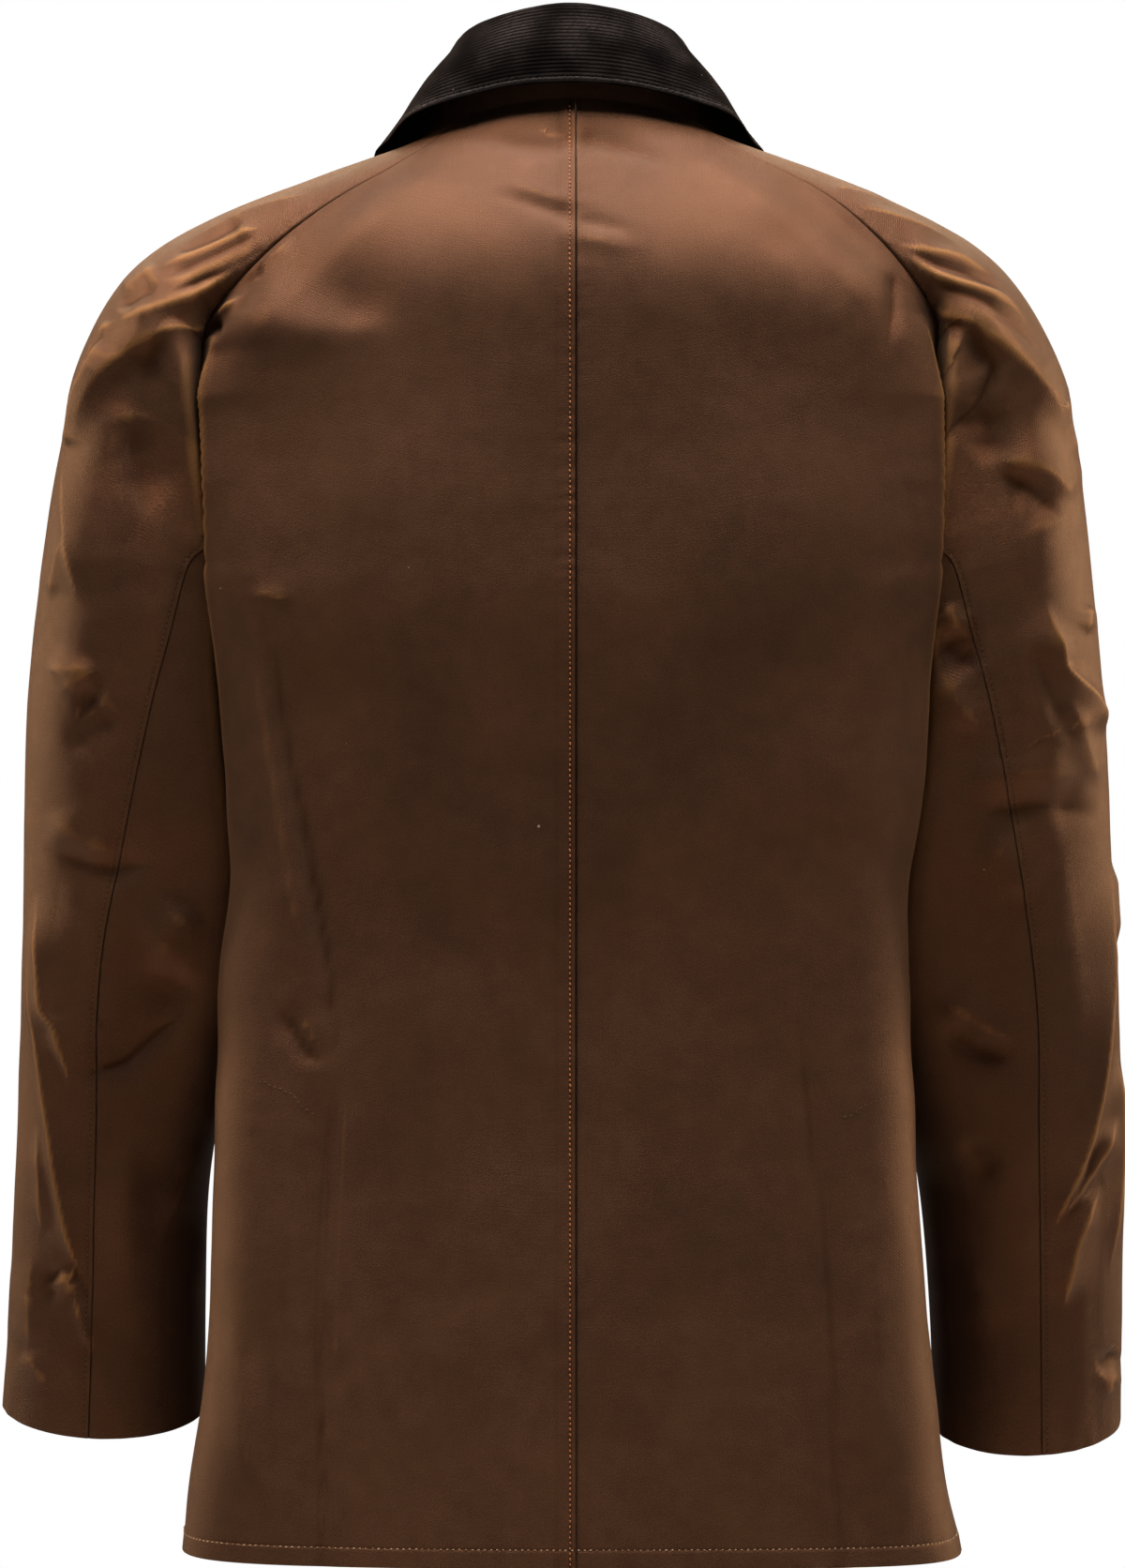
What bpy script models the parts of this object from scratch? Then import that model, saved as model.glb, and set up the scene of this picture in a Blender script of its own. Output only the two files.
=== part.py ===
"""A waxed cotton raglan jacket, hollow and filled out as if worn, as its sewn pieces.

Metres, +Z up. The front faces -Y and the wearer's left is +X. The origin is the middle of the
neck opening, level with the nape. Every table is in millimetres, a row for each section, and
each cloth piece is a closed wall between a grid of points and the same grid moved inwards.
"""
import math

import bmesh
import bpy
import numpy as np
from mathutils import Vector

MM = 0.001
CLOTH = 2.0            # wall of the waxed cotton, facing and hem allowances included
CORDUROY = 2.4         # wall of the corduroy collar
SEAM_GAP = 0.3         # between two pieces along a seam
LAYER_GAP = 0.3        # between a piece and the panel that it lies on
MITRE_LIMIT = 2.5      # longest wall at a folded seam, in wall thicknesses
FOLDED_FLAT = 0.1      # seams less square than this point their walls straight down
SAME_DIRECTION = 0.9999            # cosine above which two normals count as one
PANEL_COLUMNS = 7      # cells from the centre of a body panel to its side edge
TOP_COLUMNS = 14       # cells round the top sleeve
UNDER_COLUMNS = 5      # cells round the under sleeve
UNDERARM_ROW = 12      # row of the body and sleeve tables where the raglan seams end
BACK_SEAM_ROW = 8      # row where the sleeve's back seam leaves the raglan seam
VENT_ROW = 19          # row of the body tables where the side vents open

# Back panels. centre: height and depth on the centre back seam; x and z: the side edge on the
# left and right, first the raglan seam and then the side seam; y: that edge's depth; turn: how
# far the section has turned there, 90 being side on.
BACK = (
    # centre z, y,   left x,  z,  right x,  z,     y, turn
    (0, 62, 55, -8, 60, -8, 50, 38),
    (-26, 77, 88, -31, 94, -28, 60, 42),
    (-54, 91, 122, -51, 131, -47, 66, 48),
    (-84, 102, 149, -71, 158, -69, 68, 54),
    (-112, 110, 172, -93, 179, -93, 66, 62),
    (-138, 116, 190, -115, 193, -115, 56, 70),
    (-160, 120, 198, -137, 197, -137, 43, 76),
    (-182, 122, 198, -162, 197, -162, 30, 80),
    (-202, 124, 195.5, -186, 196, -186, 18, 83),
    (-220, 125, 193.5, -205, 194.5, -205, 9, 85),
    (-236, 125, 192, -222, 193.5, -222, 2, 87),
    (-250, 125, 190.8, -237, 192.5, -237, -3, 88),
    (-264, 125, 189.5, -250, 191.5, -250, -7, 90),
    (-292, 123, 185.5, -288, 189, -288, -3, 90),
    (-330, 119, 181, -328, 186, -328, 4, 90),
    (-370, 115, 176.5, -369, 181, -369, 9, 90),
    (-410, 112, 173.5, -410, 172.5, -410, 12, 90),
    (-450, 112, 178, -450, 171.5, -450, 13, 90),
    (-490, 115, 181, -490, 174, -490, 13, 90),
    (-525, 119, 185, -525, 179, -525, 12, 90),
    (-560, 124, 186.5, -560, 181, -560, 11, 90),
    (-600, 130, 188.2, -600, 184.5, -600, 10, 90),
    (-640, 135, 189.7, -640, 187.5, -640, 9, 90),
    (-680, 140, 193, -680, 192, -680, 8, 90),
    (-720, 144, 199.5, -720, 196, -720, 7, 90),
    (-759.5, 147, 203, -754, 204, -757, 6, 90),
)
# Front panels down to the underarm; below it they share the back panels' side edge.
FRONT = (
    # centre z, y,   edge x,   y,    z, turn
    (-75, -70, 58, -48, -52, 46),
    (-95, -83, 84, -65, -66, 48),
    (-116, -97, 110, -79, -82, 52),
    (-137, -110, 134, -87, -100, 57),
    (-158, -121, 155, -87, -120, 63),
    (-178, -129, 172, -79, -141, 70),
    (-197, -135, 184, -67, -164, 76),
    (-212, -139, 190, -54, -186, 80),
    (-226, -142, 192, -41, -205, 83),
    (-237, -144, 192.5, -31, -220, 85),
    (-247, -145, 192, -22, -232, 87),
    (-256, -146, 191, -14, -242, 88),
    (-264, -146, 189.5, -7, -250, 90),
)
FRONT_CENTRE = (  # depth of the centre front on the rows below the underarm
    -146, -145, -143, -141, -140, -141, -143, -145, -148, -150, -152, -154, -156)
# Sleeve cap, a row for each row of the raglan seams. Each section is an arc from the back
# seam over an outer point to the front seam; back and front: its half depths; turns: how far
# round it each seam lies from the outer point, in degrees; seam: the back sleeve seam's turn.
CAP = (
    # out x left,  z,  right,  z,  y,  back, front, back turn, front turn, seam
    (81, -18, 83, -18, 2, 55, 56, 60, 62, 56),
    (113, -27, 113, -25, -2, 67, 68, 66, 68, 61),
    (143, -38, 143, -36, -5, 74, 76, 73, 76, 68),
    (171, -48, 171, -47.5, -7, 76, 80, 82, 88, 77),
    (197, -59.5, 197, -59.5, -8, 76, 82, 97, 105, 92),
    (219, -71, 217, -71, -8, 76, 82, 120, 121, 115),
    (236, -86, 233, -86, -8, 76, 82, 138, 134, 133),
    (249.5, -105, 246.5, -105, -8, 76, 82, 150, 146, 145),
    (260, -129, 258.5, -129, -8, 76, 82, 160, 156, 155),
    (267, -155, 266, -155, -8, 76, 82, 167, 164, 149),
    (272.5, -181, 271, -181, -8, 76, 81, 172.5, 170, 139),
    (277, -205, 274.5, -205, -8, 76, 81, 177, 176, 130),
    (280.5, -229, 277, -229, -8, 76, 80, 180, 180, 123),
)
# Sleeve below the underarm, each ring an ellipse from an inner point, by the body, to an
# outer one. mid y: depth of its middle; tilt: how far it leans forward, in degrees.
ARM = (
    # in x left, right,  z,  out x left, right,  z,  mid y, back, front, tilt, seam
    (187, 190, -288, 284.5, 280.5, -262, -8, 75, 78, 0, 116),
    (182.5, 187, -320, 289.5, 284.5, -302, -9, 73, 76, 1, 107),
    (178.8, 183.2, -356, 291.5, 287.5, -346, -11, 70, 73, 2, 97),
    (175.5, 177, -393, 292, 289.5, -389, -14, 66, 70, 4, 87),
    (176.8, 172.5, -433, 292.5, 291, -433, -18, 62, 66, 6, 79),
    (181, 174.5, -477, 294.5, 294.5, -477, -23, 58, 62, 8, 77),
    (187, 180.5, -524, 296.5, 297, -524, -30, 54, 57, 9, 80),
    (194.5, 189, -576, 299, 298, -576, -36, 51, 53, 10, 83),
    (196.5, 194, -633, 302, 297.5, -632, -42, 48, 49, 14, 84),
    (197, 196.5, -694, 306.5, 297.5, -691, -46, 46, 46, 19, 84),
)
RIGHT_SLEEVE_EXTRA = 9.0           # the right cuff hangs this much lower
# Collar, from the centre back round to the centre front: place along the neck seam, 0 to 1,
# the roll line and the fall's outer edge.
COLLAR = (
    # place,  roll x,  y,  z,  edge x,   y,   z
    (0.0, 0, 49, 50, 0, 85, 10.5),
    (0.12, 26, 46, 46.5, 33, 82, 8),
    (0.26, 48, 34, 40, 63, 72, 1),
    (0.38, 58, 16, 32, 86, 52, -6),
    (0.5, 61, -6, 24, 99, 22, -16),
    (0.62, 60, -30, 9, 105, -12, -22.5),
    (0.74, 50, -52, -12, 100, -58, -38),
    (0.87, 31, -69, -33, 86, -92, -62),
    (1.0, 7, -80, -50, 66, -112, -86),
)
STAND_SHARE = 0.62     # how far up to the roll line the stand reaches
STAND_LIFT = 0.7       # the stand's gap to the neck seam below and the fall above
ROLL_RADIUS = 4.6      # of the turn at the top of the collar
ROLL_RISE = 2.0        # the turn's crown above the roll line
ROLL_DROP = 2.5        # the turn's outer side below the roll line
FALL_BELLY = 2.0       # how far the middle of the fall stands up and out
COLLAR_END = 3.0       # each collar end stops this far from the centre front
# Pieces on the fronts: distances from the centre front along the section, and heights.
FLY_HALF_WIDTH = 30.0
FLY_ROWS = (1, 24)
FLY_STUD_HEIGHTS = (-150, -255, -360, -465, -570)
POCKET_COLUMNS = (2.0, 5.9)        # in cells of the front panel
POCKET_HEIGHTS = (-545, -722)
FLAP_COLUMNS = (1.8, 6.2)
FLAP_HEIGHTS = (-508, -577)
FLAP_SEAM = 30.0       # the flap lies on the panel down to here, and on the pocket below
FLAP_STUD_RISE = 15.4  # stud's centre above the flap's lower edge
LEAST_CELL = 0.2       # smallest cell of a pocket or flap, in cells of the panel
LEAST_ROW = 6.0        # smallest distance between its rows
UNDERLAP = 22.0        # how far the front runs under the back at the vent
UNDERLAP_EASE = 0.3    # share of that tuck taken one column in from the vent edge
STUD_RADIUS = 7.0
STUD_HEIGHT = 3.0
STUD_LIFT = 0.6        # its flat base stays clear of the bent cloth below it
STUD_SIDES = 12

COLOURS = {  # base colour, roughness, metallic
    "waxed_cotton": ((0.085, 0.040, 0.020), 0.55, 0.0),
    "corduroy": ((0.016, 0.011, 0.010), 0.85, 0.0),
    "stud_brass": ((0.30, 0.19, 0.09), 0.38, 1.0),
}
SIDES = {"left": 1, "right": -1}


def spline(rows, place):
    """The row at a place between rows, on a smooth curve through them all."""
    rows = np.asarray(rows, float)
    first = int(min(max(math.floor(place), 0), len(rows) - 2))
    f = place - first
    a, b = rows[first], rows[first + 1]
    before = rows[first - 1] if first else 2 * a - b
    after = rows[first + 2] if first + 2 < len(rows) else 2 * b - a
    return 0.5 * (2 * a + (b - before) * f + (2 * before - 5 * a + 4 * b - after) * f * f
                  + (3 * a - before - 3 * b + after) * f ** 3)


def section(centre, edge, turn, share):
    """A point of a body section: share 0 on the centre line and 1 on the side edge."""
    end = math.radians(turn)
    across = math.sin(end * share) / math.sin(end)
    inward = (math.cos(end * share) - math.cos(end)) / (1 - math.cos(end))
    return np.array((edge[0] * across,
                     edge[1] + (centre[0] - edge[1]) * inward,
                     centre[1] + (edge[2] - centre[1]) * across ** 2))


def back_edge(side, row):
    """Side edge of a back panel at a row of its table, and how far the section has turned."""
    _, _, x_left, z_left, x_right, z_right, y, turn = spline(BACK, row)
    x, z = (x_left, z_left) if side == "left" else (x_right, z_right)
    return np.array((x * SIDES[side], y, z)), turn


def back_point(side, row, share):
    centre_z, centre_y = spline(BACK, row)[:2]
    edge, turn = back_edge(side, row)
    return section((centre_y, centre_z), edge, turn, share)


def front_rows(side):
    """Rows of a front panel as centre z, y, edge x, y, z and turn, from neck to hem."""
    reach = abs(back_edge(side, UNDERARM_ROW)[0][0]) / FRONT[-1][2]
    rows = [(z, y, x * (1 + (reach - 1) * i / UNDERARM_ROW) * SIDES[side], ey, ez, turn)
            for i, (z, y, x, ey, ez, turn) in enumerate(FRONT)]
    for i, depth in enumerate(FRONT_CENTRE, UNDERARM_ROW + 1):
        edge, turn = back_edge(side, i)
        rows.append((BACK[i][0], depth, *edge, turn))
    return rows


def front_point(rows, row, share):
    centre_z, centre_y, *edge, turn = spline(rows, row)
    return section((centre_y, centre_z), edge, turn, share)


def arm_row(side, row, ends):
    """Numbers that draw one sleeve section: see sleeve_point.

    ends are the two points that it joins; below the underarm both are its inner point.
    """
    sign = SIDES[side]
    if row <= UNDERARM_ROW:
        (out_left, z_left, out_right, z_right,
         y, back, front, back_turn, front_turn, seam) = CAP[row]
        out_x, z = (out_left, z_left) if side == "left" else (out_right, z_right)
        outer = np.array((out_x * sign, y, z))
        return ends[0], ends[1], outer, (back, front, back_turn, front_turn, 0.0, seam)
    (in_left, in_right, in_z, out_left, out_right, out_z,
     y, back, front, tilt, seam) = ARM[row - UNDERARM_ROW - 1]
    share = (row - UNDERARM_ROW) / len(ARM)
    drop = RIGHT_SLEEVE_EXTRA * share if side == "right" else 0.0
    inner = np.array(((in_left if side == "left" else in_right) * sign, y, in_z - drop))
    outer = np.array(((out_left if side == "left" else out_right) * sign, y, out_z - drop))
    return inner, inner, outer, (back, front, 180.0, 180.0, tilt, seam)


def sleeve_point(section_row, angle):
    """A point of a sleeve section: angle 0 is its outer point, positive goes to the back."""
    back_end, front_end, outer, (back, front, back_turn, front_turn, tilt, _) = section_row
    end, depth, turn = ((back_end, back, back_turn) if angle >= 0
                        else (front_end, -front, front_turn))
    cosine = math.cos(math.radians(turn))
    middle = (end - outer * cosine) / (1 - cosine)
    middle[1] = outer[1]
    out = abs(math.radians(angle))
    point = middle + (outer - middle) * math.cos(out)
    lean = math.radians(tilt)
    away = depth * math.sin(out)
    point = point + np.array((0, away * math.cos(lean), -away * math.sin(lean)))
    miss = end[1] - outer[1] - depth * math.sin(math.radians(turn))
    point[1] += miss * (abs(angle) / turn) ** 2
    return point


def sleeve_grid(side):
    """All of one sleeve's points: columns from the back raglan seam round to the front one.

    The first UNDER_COLUMNS columns are the under sleeve's and the rest the top sleeve's.
    """
    fronts = front_rows(side)
    grid = []
    for row in range(UNDERARM_ROW + 1 + len(ARM)):
        ends = None
        if row <= UNDERARM_ROW:
            ends = (back_edge(side, row)[0], front_point(fronts, row, 1.0))
        section_row = arm_row(side, row, ends)
        _, _, back_turn, front_turn, _, seam = section_row[3]
        angles = [*np.linspace(back_turn, seam, UNDER_COLUMNS + 1)[:-1],
                  *np.linspace(seam, -front_turn, TOP_COLUMNS + 1)]
        grid.append([sleeve_point(section_row, angle) for angle in angles])
    return np.array(grid)


def vertex_normals(grid, outward):
    """Unit normals of a grid of points; outward is 1 or -1 and picks the side they face."""
    along = np.gradient(grid, axis=0)
    across = np.gradient(grid, axis=1)
    normals = np.cross(along, across) * outward
    return normals / np.linalg.norm(normals, axis=2, keepdims=True)


def key(point):
    return tuple(np.round(point, 3))


def wall_directions(panels):
    """Each point's wall direction, shared by all the panels that meet there.

    It is a unit normal inside a panel and longer at a folded seam, so that walls meet in a
    mitre and keep their thickness.
    """
    meeting = {}
    for grid, normals in panels.values():
        for point, normal in zip(grid.reshape(-1, 3), normals.reshape(-1, 3)):
            known = meeting.setdefault(key(point), [])
            if not any(np.dot(normal, other) > SAME_DIRECTION for other in known):
                known.append(normal)
    walls = {}
    for name, (grid, normals) in panels.items():
        wall = np.empty_like(normals)
        for index in np.ndindex(grid.shape[:2]):
            known = meeting[key(grid[index])]
            total = sum(known)
            squareness = np.linalg.norm(total) / len(known)
            if squareness < FOLDED_FLAT:
                wall[index] = (0, 0, -MITRE_LIMIT)
            else:
                unit = total / np.linalg.norm(total)
                wall[index] = unit * min(1 / squareness, MITRE_LIMIT)
        walls[name] = wall
    return walls


def drawn_in(grid):
    """The grid with its edges drawn in by half a seam gap."""
    points = grid.copy()
    for axis in (0, 1):
        ends = np.moveaxis(points, axis, 0)
        for edge, inside in ((0, 1), (-1, -2)):
            step = ends[inside] - ends[edge]
            length = np.linalg.norm(step, axis=-1, keepdims=True)
            ends[edge] += step / length * SEAM_GAP / 2
    return points


def parted(grid, normals, walls):
    """The grid moved in along its own normals where seams fold, so that the two sides part."""
    length = np.linalg.norm(walls, axis=2, keepdims=True)
    return grid - normals * np.clip(length - 1, 0, 1) * SEAM_GAP / 2


def material(kind):
    """The plain Principled material of a kind, made once."""
    if kind in bpy.data.materials:
        return bpy.data.materials[kind]
    colour, roughness, metallic = COLOURS[kind]
    made = bpy.data.materials.new(kind)
    made.use_nodes = True
    shader = made.node_tree.nodes["Principled BSDF"]
    shader.inputs["Base Color"].default_value = (*colour, 1)
    shader.inputs["Roughness"].default_value = roughness
    shader.inputs["Metallic"].default_value = metallic
    made.diffuse_color = (*colour, 1)
    return made


def add_object(name, mesh_tool, kind):
    """Turns a bmesh into a named object with outward faces and a smooth finish."""
    bmesh.ops.recalc_face_normals(mesh_tool, faces=mesh_tool.faces)
    mesh = bpy.data.meshes.new(name)
    mesh_tool.to_mesh(mesh)
    mesh_tool.free()
    mesh.materials.append(material(kind))
    made = bpy.data.objects.new(name, mesh)
    bpy.context.scene.collection.objects.link(made)
    mesh.shade_smooth()
    mesh.set_sharp_from_angle(angle=math.radians(50))
    return made


def cloth(name, grid, walls, thickness=CLOTH, kind="waxed_cotton", keep=None):
    """A closed wall of cloth: the grid outside, the grid moved in, and a rim round it.

    keep says which cells there are, by row and column; all of them if it is left out.
    """
    outer = drawn_in(grid)
    inner = outer - walls * thickness
    rows, columns = grid.shape[:2]
    tool = bmesh.new()
    layers = [[[tool.verts.new(Vector(p) * MM) for p in line] for line in layer]
              for layer in (outer, inner)]
    for row in range(rows - 1):
        for column in range(columns - 1):
            if keep and not keep(row, column):
                continue
            for layer, corners in zip(layers, ((0, 1, 3, 2), (0, 2, 3, 1))):
                cell = (layer[row][column], layer[row][column + 1],
                        layer[row + 1][column], layer[row + 1][column + 1])
                tool.faces.new([cell[i] for i in corners])
    twin = {a: b for line, other in zip(*layers) for a, b in zip(line, other)}
    for edge in [e for e in tool.edges if e.is_boundary and e.verts[0] in twin]:
        # Both sides of a seam split their rims from the lower outer point, so they match.
        low, high = sorted(edge.verts, key=lambda v: tuple(v.co.zyx))
        tool.faces.new((low, high, twin[high]))
        tool.faces.new((low, twin[high], twin[low]))
    loose = [v for v in tool.verts if not v.link_faces]
    bmesh.ops.delete(tool, geom=loose, context="VERTS")
    return add_object(name, tool, kind)


def on_panel(grid, normals, row, column, lift):
    """A point on a panel's flat cells at a row and column between its points, moved out."""
    i = int(min(max(math.floor(row), 0), grid.shape[0] - 2))
    j = int(min(max(math.floor(column), 0), grid.shape[1] - 2))
    r, c = row - i, column - j
    weights = ((1 - r) * (1 - c), (1 - r) * c, r * (1 - c), r * c)
    cell = ((i, j), (i, j + 1), (i + 1, j), (i + 1, j + 1))
    point = sum(w * grid[at] for w, at in zip(weights, cell))
    normal = sum(w * normals[at] for w, at in zip(weights, cell))
    normal = normal / np.linalg.norm(normal)
    return point + normal * lift, normal


def row_at_height(grid, column, height):
    """The row between a panel's rows where a column passes a height."""
    heights = [on_panel(grid, grid, i, column, 0)[0][2] for i in range(grid.shape[0])]
    return float(np.interp(-height, [-h for h in heights], range(grid.shape[0])))


def body_panels():
    """Points and normals of the two backs and two fronts."""
    shares = np.linspace(0, 1, PANEL_COLUMNS + 1)
    panels = {}
    for side, sign in SIDES.items():
        back = np.array([[back_point(side, i, s) for s in shares] for i in range(len(BACK))])
        rows = front_rows(side)
        front = np.array([[front_point(rows, i, s) for s in shares]
                          for i in range(len(rows))])
        panels["back_" + side] = (back, vertex_normals(back, -sign))
        panels["front_" + side] = (front, vertex_normals(front, sign))
    return panels


def sleeve_panels():
    """Points and normals of the top and under pieces of both sleeves.

    The top sleeve's first column is the raglan seam, so it has no cells below the row where
    its back seam starts. The under sleeve starts at that row.
    """
    panels = {}
    for side, sign in SIDES.items():
        grid = sleeve_grid(side)
        normals = vertex_normals(grid, -sign)
        top = [0, *range(UNDER_COLUMNS, grid.shape[1])]
        panels["sleeve_top_" + side] = (grid[:, top], normals[:, top])
        under = (slice(BACK_SEAM_ROW, None), slice(0, UNDER_COLUMNS + 1))
        panels["sleeve_under_" + side] = (grid[under], normals[under])
    return panels


def neck_seam(side):
    """Points of the neck seam from the centre back to the centre front."""
    shares = np.linspace(0, 1, PANEL_COLUMNS + 1)
    rows = front_rows(side)
    over_shoulder = sleeve_grid(side)[0][UNDER_COLUMNS + 2:-1:2]
    return ([back_point(side, 0, s) for s in shares] + list(over_shoulder)
            + [front_point(rows, 0, s) for s in shares[::-1]])


def collar_station(side, place):
    """Roll point, outer edge point and outward direction of the collar at a place."""
    places = [row[0] for row in COLLAR]
    between = float(np.interp(place, places, range(len(places))))
    row = spline([r[1:] for r in COLLAR], between)
    roll, edge = row[:3], row[3:]
    roll[0] *= SIDES[side]
    edge[0] *= SIDES[side]
    out = edge - roll
    out[2] = 0
    return roll, edge, out / np.linalg.norm(out)


def collar_grids():
    """Points of the stand, from the neck seam up, and of the fall, over the roll and down."""
    stand, fall = [], []
    up = np.array((0, 0, 1.0))
    for side in SIDES:
        seam = neck_seam(side)
        steps = [np.linalg.norm(q - p) for p, q in zip(seam, seam[1:])]
        places = np.concatenate(([0.0], np.cumsum(steps))) / sum(steps)
        stations = list(zip(seam, places))
        if side == "right":
            stations = stations[1:]
        stand_side, fall_side = [], []
        for point, place in stations:
            roll, edge, out = collar_station(side, place)
            top = point + (roll - point) * STAND_SHARE
            rise = (roll - point) / np.linalg.norm(roll - point)
            stand_side.append([point + rise * STAND_LIFT, (point + top) / 2, top])
            inside = top - out * CLOTH + rise * STAND_LIFT
            over = roll + out * ROLL_RADIUS + up * ROLL_RISE
            outside = roll + out * 2 * ROLL_RADIUS - up * ROLL_DROP
            middle = (outside + edge) / 2 + (up + out) * FALL_BELLY
            fall_side.append([inside, (inside + roll) / 2, roll, over, outside, middle, edge])
        if side == "left":
            stand_side.reverse()
            fall_side.reverse()
        stand += stand_side
        fall += fall_side
    return np.array(stand), np.array(fall)


def shorten_ends(grid, start, finish):
    """A strip whose first and last rows are moved in along it by these distances."""
    grid = grid.copy()
    for end, inside, distance in ((0, 1, start), (-1, -2, finish)):
        step = grid[inside] - grid[end]
        length = np.linalg.norm(step, axis=-1, keepdims=True)
        grid[end] += step / length * distance
    return grid


def stud(name, point, normal):
    """A press stud's cap: a low dome that stands on the cloth along a direction."""
    tool = bmesh.new()
    base = Vector(point + normal * STUD_LIFT) * MM
    turn = Vector((0, 0, 1)).rotation_difference(Vector(normal))
    profile = ((0.0, 0.0), (1.0, 0.0), (1.0, 0.5), (0.7, 1.0), (0.0, 1.0))
    rings = []
    for radius, height in profile:
        ring = []
        for i in range(STUD_SIDES if radius else 1):
            angle = math.tau * i / STUD_SIDES
            across = STUD_RADIUS * radius
            place = Vector((across * math.cos(angle), across * math.sin(angle),
                            STUD_HEIGHT * height))
            ring.append(tool.verts.new(base + turn @ place * MM))
        rings.append(ring)
    for low, high in zip(rings, rings[1:]):
        for i in range(STUD_SIDES):
            j = (i + 1) % STUD_SIDES
            corners = [low[i % len(low)], low[j % len(low)],
                       high[j % len(high)], high[i % len(high)]]
            tool.faces.new(list(dict.fromkeys(corners)))
    return add_object(name, tool, "stud_brass")


def front_with_underlap(back_grid, back_walls, grid, walls):
    """A front panel whose vent edge slips under the back panel, and the cells it has."""
    under = -(CLOTH + 2 * LAYER_GAP)
    extra_grid = np.zeros((grid.shape[0], 2, 3))
    extra_walls = np.zeros_like(extra_grid)
    for row in range(grid.shape[0]):
        cell = np.linalg.norm(back_grid[row, -1] - back_grid[row, -2])
        for step in (1, 2):
            column = PANEL_COLUMNS - step * UNDERLAP / 2 / cell
            point, wall = on_panel(back_grid, back_walls, row, column, under)
            extra_grid[row, step - 1] = point
            extra_walls[row, step - 1] = wall
    grid = grid.copy()
    for row in range(VENT_ROW + 1, grid.shape[0]):
        tuck = walls[row, -1] * under
        grid[row, -1] += tuck
        grid[row, -2] += tuck * UNDERLAP_EASE
    grid = np.concatenate((grid, extra_grid), axis=1)
    walls = np.concatenate((walls, extra_walls), axis=1)
    return grid, walls, lambda r, c: c < PANEL_COLUMNS or r > VENT_ROW


def build():
    for old in list(bpy.data.objects):
        bpy.data.objects.remove(old, do_unlink=True)
    panels = {**body_panels(), **sleeve_panels()}
    walls = wall_directions(panels)
    for name, (grid, normals) in panels.items():
        wall, keep = walls[name], None
        grid = parted(grid, normals, wall)
        if name.startswith("front"):
            back = name.replace("front", "back")
            grid, wall, keep = front_with_underlap(panels[back][0], walls[back], grid, wall)
        elif name.startswith("sleeve_top"):
            keep = above_back_seam
        elif name.startswith("sleeve_under"):
            grid = shorten_ends(grid, SEAM_GAP, 0)
        cloth(name, grid, wall, keep=keep)
    stand, fall = (shorten_ends(grid, COLLAR_END, COLLAR_END) for grid in collar_grids())
    cloth("collar_stand", stand, vertex_normals(stand, 1))
    cloth("collar_fall", fall, vertex_normals(fall, 1), CORDUROY, "corduroy")
    front_pieces({name: (panels[name][0], walls[name]) for name in panels})


def above_back_seam(row, column):
    """The top sleeve's cells: its first column only borders the raglan seam."""
    return column > 0 or row < BACK_SEAM_ROW


def front_pieces(panels):
    """The storm fly, pockets, flaps and studs, each lying on the fronts."""
    lift = LAYER_GAP + CLOTH
    left, right = panels["front_left"], panels["front_right"]
    fly, fly_normals = [], []
    for row in range(FLY_ROWS[0], FLY_ROWS[1] + 1):
        reach = FLY_HALF_WIDTH / np.linalg.norm(left[0][row, 1] - left[0][row, 0])
        line = [on_panel(*left, row, reach, lift), on_panel(*left, row, 0, lift),
                on_panel(*right, row, reach, lift)]
        fly.append([point for point, _ in line])
        fly_normals.append([normal for _, normal in line])
    cloth("storm_fly", np.array(fly), np.array(fly_normals))
    for count, height in enumerate(FLY_STUD_HEIGHTS, 1):
        row = row_at_height(left[0], 0, height)
        stud(f"fly_stud_{count}", *on_panel(*left, row, 0, lift))
    for side in SIDES:
        grid, normals = panels["front_" + side]
        patch(f"pocket_{side}", grid, normals, POCKET_COLUMNS, POCKET_HEIGHTS, (lift, lift))
        patch(f"pocket_flap_{side}", grid, normals, FLAP_COLUMNS, FLAP_HEIGHTS,
              (lift, 2 * lift))
        column = sum(FLAP_COLUMNS) / 2
        row = row_at_height(grid, column, FLAP_HEIGHTS[1] + FLAP_STUD_RISE)
        stud(f"flap_stud_{side}", *on_panel(grid, normals, row, column, 2 * lift))


def patch(name, grid, normals, columns, heights, lifts):
    """A piece that lies on a panel between two columns and two heights."""
    first, last = math.ceil(columns[0] + LEAST_CELL), math.floor(columns[1] - LEAST_CELL)
    inside = range(first, last + 1)
    top, bottom = heights
    own_rows = [row[0] for row in BACK if bottom + LEAST_ROW < row[0] < top - LEAST_ROW]
    knee = top - FLAP_SEAM
    if lifts[0] != lifts[1]:
        own_rows = sorted({*own_rows, knee}, reverse=True)
    points, directions = [], []
    for height in (top, *own_rows, bottom):
        lift = lifts[0] if height > knee else lifts[1]
        line = [on_panel(grid, normals, row_at_height(grid, c, height), c, lift)
                for c in (columns[0], *inside, columns[1])]
        points.append([point for point, _ in line])
        directions.append([normal for _, normal in line])
    cloth(name, np.array(points), np.array(directions))


build()
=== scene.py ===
import math

import bpy
import numpy as np
from mathutils import Matrix, Vector, noise


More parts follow.
